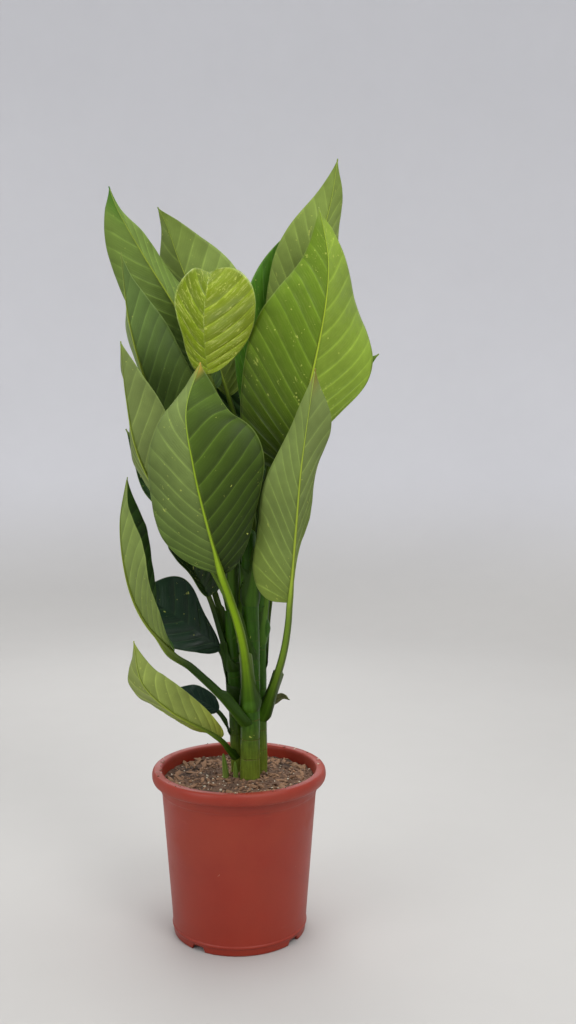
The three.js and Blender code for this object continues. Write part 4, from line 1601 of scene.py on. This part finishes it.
def soil_height(x, y):
    mound = math.cos(math.hypot(x - MOUND_AT[0], y - MOUND_AT[1]) / MOUND_WIDTH)
    lumps = math.sin(x / LUMP_WIDTHS[0] + 1.3) * math.cos(y / LUMP_WIDTHS[1] - 0.4)
    grains = math.sin((x - GRAIN_SLANT * y) / GRAIN_WIDTH)
    fine = sum(lift * noise.noise(Vector((x / width, y / width, cut))) for lift, width, cut in FINE_WAVES)
    return SOIL_LEVEL + SOIL_WAVE * (0.5 * mound + 0.5 * lumps + 0.3 * grains) + fine


soil_reach = soil_radius(SOIL_LEVEL)
soil_bottom = FLOOR_TOP + GAP
shrink = soil_radius(soil_bottom) / soil_reach
bm = bmesh.new()
surface = bmesh.ops.create_grid(bm, x_segments=SOIL_GRID, y_segments=SOIL_GRID, size=1)["verts"]
for vert in surface:
    x, y = vert.co.x, vert.co.y
    disc = Vector((x * math.sqrt(1 - y * y / 2), y * math.sqrt(1 - x * x / 2)))
    disc *= soil_reach
    vert.co = (disc.x, disc.y, soil_height(disc.x, disc.y))
rim = [edge for edge in bm.edges if edge.is_boundary]
wall = bmesh.ops.extrude_edge_only(bm, edges=rim)["geom"]
for element in wall:
    if isinstance(element, bmesh.types.BMVert):
        element.co = (element.co.x * shrink, element.co.y * shrink, soil_bottom)
bottom = [element for element in wall if isinstance(element, bmesh.types.BMEdge) and element.is_boundary]
bmesh.ops.holes_fill(bm, edges=bottom, sides=0)
bmesh.ops.recalc_face_normals(bm, faces=bm.faces)
finish_piece("soil_fill", bm, [peat_finish], ["soil"])

# %% [markdown]
# ## Crumbs on the soil
#
# Loose crumbs of peat, bits of bark and a few white grains lie on the fill. Each is a small stone
# of 20 faces, stretched, turned and bent by noise, and most of them are small. They could be
# scattered as instances, but real meshes are few enough here and show in every export.

# %% Crumbs on the soil
CRUMBS = 1700
CRUMB_KINDS = ((0, 0.54, 1.0, 3.0), (1, 0.32, 1.1, 3.8), (2, 0.14, 0.7, 2.0))  # finish, share, sizes
BARK_BIT = 1
CRUMB_TILT = 0.6
CRUMB_BEND = 0.5


def add_crumb(bm, matrix, finish, bend=0.0):
    """One small stone, bent by noise"""
    stone = bmesh.ops.create_icosphere(bm, subdivisions=1, radius=1, matrix=matrix)["verts"]
    for vert in stone:
        vert.co += noise.noise_vector(vert.co * 0.9) * bend
    for face in {face for vert in stone for face in vert.link_faces}:
        face.material_index = finish


random.seed(7)
noise.seed_set(7)  # without it the stones would be bent in another way in every run
bm = bmesh.new()
for finish, share, small, large in CRUMB_KINDS:
    longest = 3.2 if finish == BARK_BIT else 1.4
    for _ in range(round(CRUMBS * share)):
        reach = abs(soil_reach * math.sqrt(random.random()) - large)
        turn = random.uniform(0, FULL_TURN)
        x, y = reach * math.cos(turn), reach * math.sin(turn)
        size = small + (large - small) * random.random() ** 2
        long = random.uniform(1.0, longest)
        tilt = Matrix.Rotation(random.uniform(-CRUMB_TILT, CRUMB_TILT), 4, "Y")
        spin = Matrix.Rotation(random.uniform(0, FULL_TURN), 4, "Z") @ tilt
        shape = Matrix.Diagonal((size * long, size, size * random.uniform(0.35, 0.8), 1))
        place = Matrix.Translation((x, y, soil_height(x, y) + 0.25 * size))
        add_crumb(bm, place @ spin @ shape, finish, CRUMB_BEND * size)
finish_piece("soil_crumbs", bm, crumb_finishes, smooth=False)

# %% [markdown]
# ## Pot finish
#
# The pot's plastic is one even terracotta colour, made duller by dust that clings in clouds, by
# short pale scratches round the wall and by splashes of soil near the foot and the rim.

# %% Pot finish
TERRACOTTA = linear(147, 38, 12)
TERRACOTTA_DUSTY = linear(155, 62, 38)
SOIL_STAIN = linear(84, 52, 38)
DUST_MOTE = linear(216, 172, 140)


def make_pot_finish():
    material, g, shader, place = new_material("pot_plastic")
    height = g.axis(place, 2)
    clouded, _ = mottled(g, place, TERRACOTTA, 9.0, 0.1)

    # dust clings in clouds, more on the upper wall than low down
    settled = g.ramp_value(height, 0.02, 0.2, 0.15, 0.5)
    dust_cloud = g.ramp_value(g.noise(place, 13.0, detail=5.0, roughness=0.6), 0.35, 0.7)
    dust = g.math("MULTIPLY", dust_cloud, settled)
    dusty = g.mix_colour(dust, clouded, TERRACOTTA_DUSTY)

    # scuffs: short pale scratches round the wall
    stretched = g.vector_math("MULTIPLY", place, (40.0, 40.0, 260.0))
    scratch = g.ramp_value(g.noise(stretched, 1.0, detail=3.0, distortion=0.4), 0.66, 0.74)
    scuffs = g.math("MULTIPLY", scratch, g.ramp_value(g.noise(place, 22.0), 0.45, 0.65))
    scuffed = g.mix_colour(g.math("MULTIPLY", scuffs, 0.45), dusty, TERRACOTTA_DUSTY)

    # splashes of soil near the foot and the rim, and pale motes of dust all over
    splashes = specks(g, place, 120.0, 0.09, 0.12)
    foot_and_rim = g.math("MAXIMUM", g.ramp_value(height, 0.12, 0.01), g.ramp_value(height, 0.185, 0.215))
    stained = g.mix_colour(g.math("MULTIPLY", splashes, foot_and_rim), scuffed, SOIL_STAIN)
    motes = specks(g, place, 62.0, 0.14, 0.15)
    g.join(g.mix_colour(g.math("MULTIPLY", motes, 0.8), stained, DUST_MOTE), shader["Base Color"])

    g.join(g.ramp_value(dust, 0.0, 0.5, 0.42, 0.62), shader["Roughness"])
    skin = g.noise(place, 700.0, detail=2.0)
    add_relief(g, shader, g.math("MULTIPLY_ADD", scuffs, -0.6, skin), 0.25, 0.0004)
    return material


pot_plastic = make_pot_finish()
print("pot finish:", pot_plastic.name)

# %% [markdown]
# ## Pot
#
# The pot is one thin injection-moulded shell: a tapered wall on a foot ring, a thicker band under a
# rolled lip and a moulded line above the foot. Such a shape is spun from its profile round the
# axis, with the roundings drawn in the profile. Spinning gives even quads all round, where cutting
# a cylinder would not. The drain notches are made by lifting the foot ring's edge.

# %% Pot profile
POT_HEIGHT = 220
LIP_RADIUS = 115.5
LIP_HEIGHT = 16
FOOT_HEIGHT = 9
FOOT_WIDTH = 4.5


def outside(height, step=0.0):
    return (outer_radius(height) + step, height)


def inside(height):
    return (outer_radius(height) - POT_WALL, height)


def arc(centre, across, up, start, end, steps):
    """Points of an upright ellipse from one angle to another, in degrees"""
    points = []
    for i in range(steps + 1):
        angle = math.radians(between(start, end, i / steps))
        points.append((centre[0] + across * math.cos(angle), centre[1] + up * math.sin(angle)))
    return points


inside_foot = FOOT_RADIUS - FOOT_WIDTH
roll = LIP_HEIGHT / 2
lip_middle = (LIP_RADIUS - roll / 2, SHOULDER_HEIGHT + roll)
inner_shoulder = inside(SHOULDER_HEIGHT)[0]
foot_profile = [
    (0, FOOT_HEIGHT),
    (40, FOOT_HEIGHT),
    (inside_foot - 2.0, FOOT_HEIGHT),
    *arc((inside_foot - 1.2, FOOT_HEIGHT - 1.2), 1.0, 1.0, 80, 5, 3),
    (inside_foot, 1.0),
    *arc((FOOT_RADIUS - 2.2, 1.0), 2.2, 1.0, 200, 350, 6),
]
outer_profile = [
    outside(3.0),
    outside(8.6),
    *arc((outer_radius(11.5), 11.5), 1.2, 2.0, -75, 75, 6),
    outside(14.4),
    *[outside(height) for height in range(30, 190, 12)],
    outside(189.6),
    outside(190.6, 0.4),
    outside(191.6, 1.1),
    outside(193.0, 1.2),
    outside(SHOULDER_HEIGHT - 2.5, 1.5),
    outside(SHOULDER_HEIGHT - 0.4, 2.2),
]
lip_profile = [
    *arc(lip_middle, roll / 2, roll, -82, 90, 18),
    (inner_shoulder + 3.6, POT_HEIGHT - 0.1),
    (inner_shoulder + 1.8, POT_HEIGHT - 0.8),
    (inner_shoulder + 0.9, POT_HEIGHT - 2.4),
    (inner_shoulder + 0.5, POT_HEIGHT - 6),
]
inner_profile = [
    inside(SHOULDER_HEIGHT),
    *[inside(height) for height in range(180, 20, -40)],
    inside(FLOOR_TOP + 4),
    (inside(FLOOR_TOP)[0] - 3, FLOOR_TOP),
    (0, FLOOR_TOP),
]
pot_profile = [*foot_profile, *outer_profile, *lip_profile, *inner_profile]
print("pot profile:", len(pot_profile), "points")

# %% [markdown]
# ## Spinning the pot
#
# The profile starts and ends on the axis, so one full turn of it is a closed shell. Near each
# notch, the part of the foot ring that lies lower than the notch's top is then lifted to it.

# %% Pot shell
POT_STEPS = 180
NOTCHES = 4
NOTCH_WIDTH = 17
NOTCH_HEIGHT = 7
NOTCH_TURN = -35


def spun(profile, steps):
    """A profile of radius and height, spun once round the axis"""
    bm = bmesh.new()
    points = [bm.verts.new((radius, 0, height)) for radius, height in profile]
    geom = [*points, *[bm.edges.new(pair) for pair in zip(points, points[1:])]]
    bmesh.ops.spin(
        bm, geom=geom, cent=(0, 0, 0), axis=(0, 0, 1), angle=FULL_TURN, steps=steps, use_merge=True
    )
    bmesh.ops.remove_doubles(bm, verts=bm.verts, dist=1e-3)
    return bm


def from_notch(x, y):
    """The distance round the foot ring to the middle of the nearest notch"""
    turn = math.degrees(math.atan2(x, -y)) - NOTCH_TURN
    spacing = 360 / NOTCHES
    apart = abs((turn + spacing / 2) % spacing - spacing / 2)
    return math.radians(apart) * math.hypot(x, y)


bm = spun(pot_profile, POT_STEPS)
for vert in bm.verts:
    if math.hypot(vert.co.x, vert.co.y) >= inside_foot - 1 and vert.co.z < NOTCH_HEIGHT:
        away = from_notch(vert.co.x, vert.co.y)
        kept = smooth_step(away, NOTCH_WIDTH / 2 - 1, NOTCH_WIDTH / 2 + 1.5)
        vert.co.z = between(NOTCH_HEIGHT, vert.co.z, kept)
bmesh.ops.recalc_face_normals(bm, faces=bm.faces)
finish_piece("pot_shell", bm, [pot_plastic], ["pot"])

# %% [markdown]
# ## Crumbs on the rim
#
# Filling a pot leaves crumbs on its lip. A few dozen lie there, most of them at the inner edge.

# %% Rim crumbs
RIM_CRUMBS = 46
RIM_INNER = inner_shoulder + 2.5
RIM_OUTER = LIP_RADIUS - roll / 2 + 0.8
RIM_KINDS = (0, 0, 1, 2)  # half of them are peat

bm = bmesh.new()
for _ in range(RIM_CRUMBS):
    turn = random.uniform(0, FULL_TURN)
    reach = between(RIM_INNER, RIM_OUTER, random.random() ** 1.5)
    size = random.uniform(0.5, 1.3)
    shape = Matrix.Diagonal((size * random.uniform(1, 1.8), size, size * 0.6, 1))
    spin = Matrix.Rotation(random.uniform(0, 6.3), 4, "Z")  # 6.3 is just over a full turn
    place = Matrix.Translation((reach * math.cos(turn), reach * math.sin(turn), POT_HEIGHT + 0.2 * size))
    add_crumb(bm, place @ spin @ shape, random.choice(RIM_KINDS))
finish_piece("rim_crumbs", bm, crumb_finishes, smooth=False)

# %% [markdown]
# ## Stage
#
# The plant stands on a plain pale floor that curves up into a round wall, so that no edge shows
# behind it from any side. It is spun from a profile too. It belongs to the studio and not to the
# plant. Far from the plant it glows a little, because the lamps don't reach it there.

# %% Floor and wall
FLOOR_PALE = linear(195, 193, 189)
WALL_PALE = linear(212, 212, 215)
FLAT_REACH = 1900
COVE = 1400
WALL_TOP = 2800
STAGE_STEPS = 96


def make_stage_finish():
    material, g, shader, place = new_material("studio_floor")
    pale = g.mix_colour(g.ramp_value(g.axis(place, 2), 0.0, 0.5), FLOOR_PALE, WALL_PALE)
    clouded, _ = mottled(g, place, pale, 2.0, 0.02)
    g.join(clouded, shader["Base Color"])
    flat = g.vector_math("MULTIPLY", place, (1.0, 1.0, 0.0))
    distance = g.node("ShaderNodeVectorMath", {0: flat}, operation="LENGTH").outputs["Value"]
    g.join(clouded, shader["Emission Color"])
    g.join(g.ramp_value(distance, 0.6, 2.8, 0.0, 0.12), shader["Emission Strength"])
    shader["Roughness"].default_value = 0.8
    return material


stage_profile = [
    (0, 0),
    (FLAT_REACH / 2, 0),
    *arc((FLAT_REACH, COVE), COVE, COVE, -90, 0, 16),
    (FLAT_REACH + COVE, WALL_TOP),
]
floor = make_object("studio_floor", spun(stage_profile, STAGE_STEPS), [make_stage_finish()])

# %% [markdown]
# ## Light
#
# The photograph was taken in soft, even light. A dim grey sky lights everything a little, and
# large round lamps give the leaves their soft gloss: the main one high on the right, a weaker one
# on the left, one above and a faint one behind.

# %% Lamps and sky
LAMPS = {  # place, size and power
    "main_lamp": ((1.0, -1.5, 2.1), 1.1, 20),
    "fill_lamp": ((-1.5, -1.3, 1.3), 1.3, 9),
    "top_lamp": ((0.1, 0.3, 2.5), 1.4, 24),
    "back_lamp": ((-0.4, 1.7, 1.4), 1.2, 8),
}
LAMP_AIM = (0, 0, 0.55)
SKY_GREY = (0.82, 0.83, 0.86, 1)
SKY_STRENGTH = 0.72

for name, (place, size, power) in LAMPS.items():
    light = bpy.data.lights.new(name, "AREA")
    light.shape = "DISK"
    light.size = size
    light.energy = power
    lamp = bpy.data.objects.new(name, light)
    lamp.location = place
    lamp.rotation_euler = (Vector(LAMP_AIM) - Vector(place)).to_track_quat("-Z", "Y").to_euler()
    lamp.visible_camera = False
    bpy.context.scene.collection.objects.link(lamp)

sky = bpy.data.worlds.new("sky")
sky.use_nodes = True
background = sky.node_tree.nodes["Background"].inputs
background["Color"].default_value = SKY_GREY
background["Strength"].default_value = SKY_STRENGTH
bpy.context.scene.world = sky
bpy.context.scene.view_settings.view_transform = "Standard"
print("lamps:", *LAMPS)
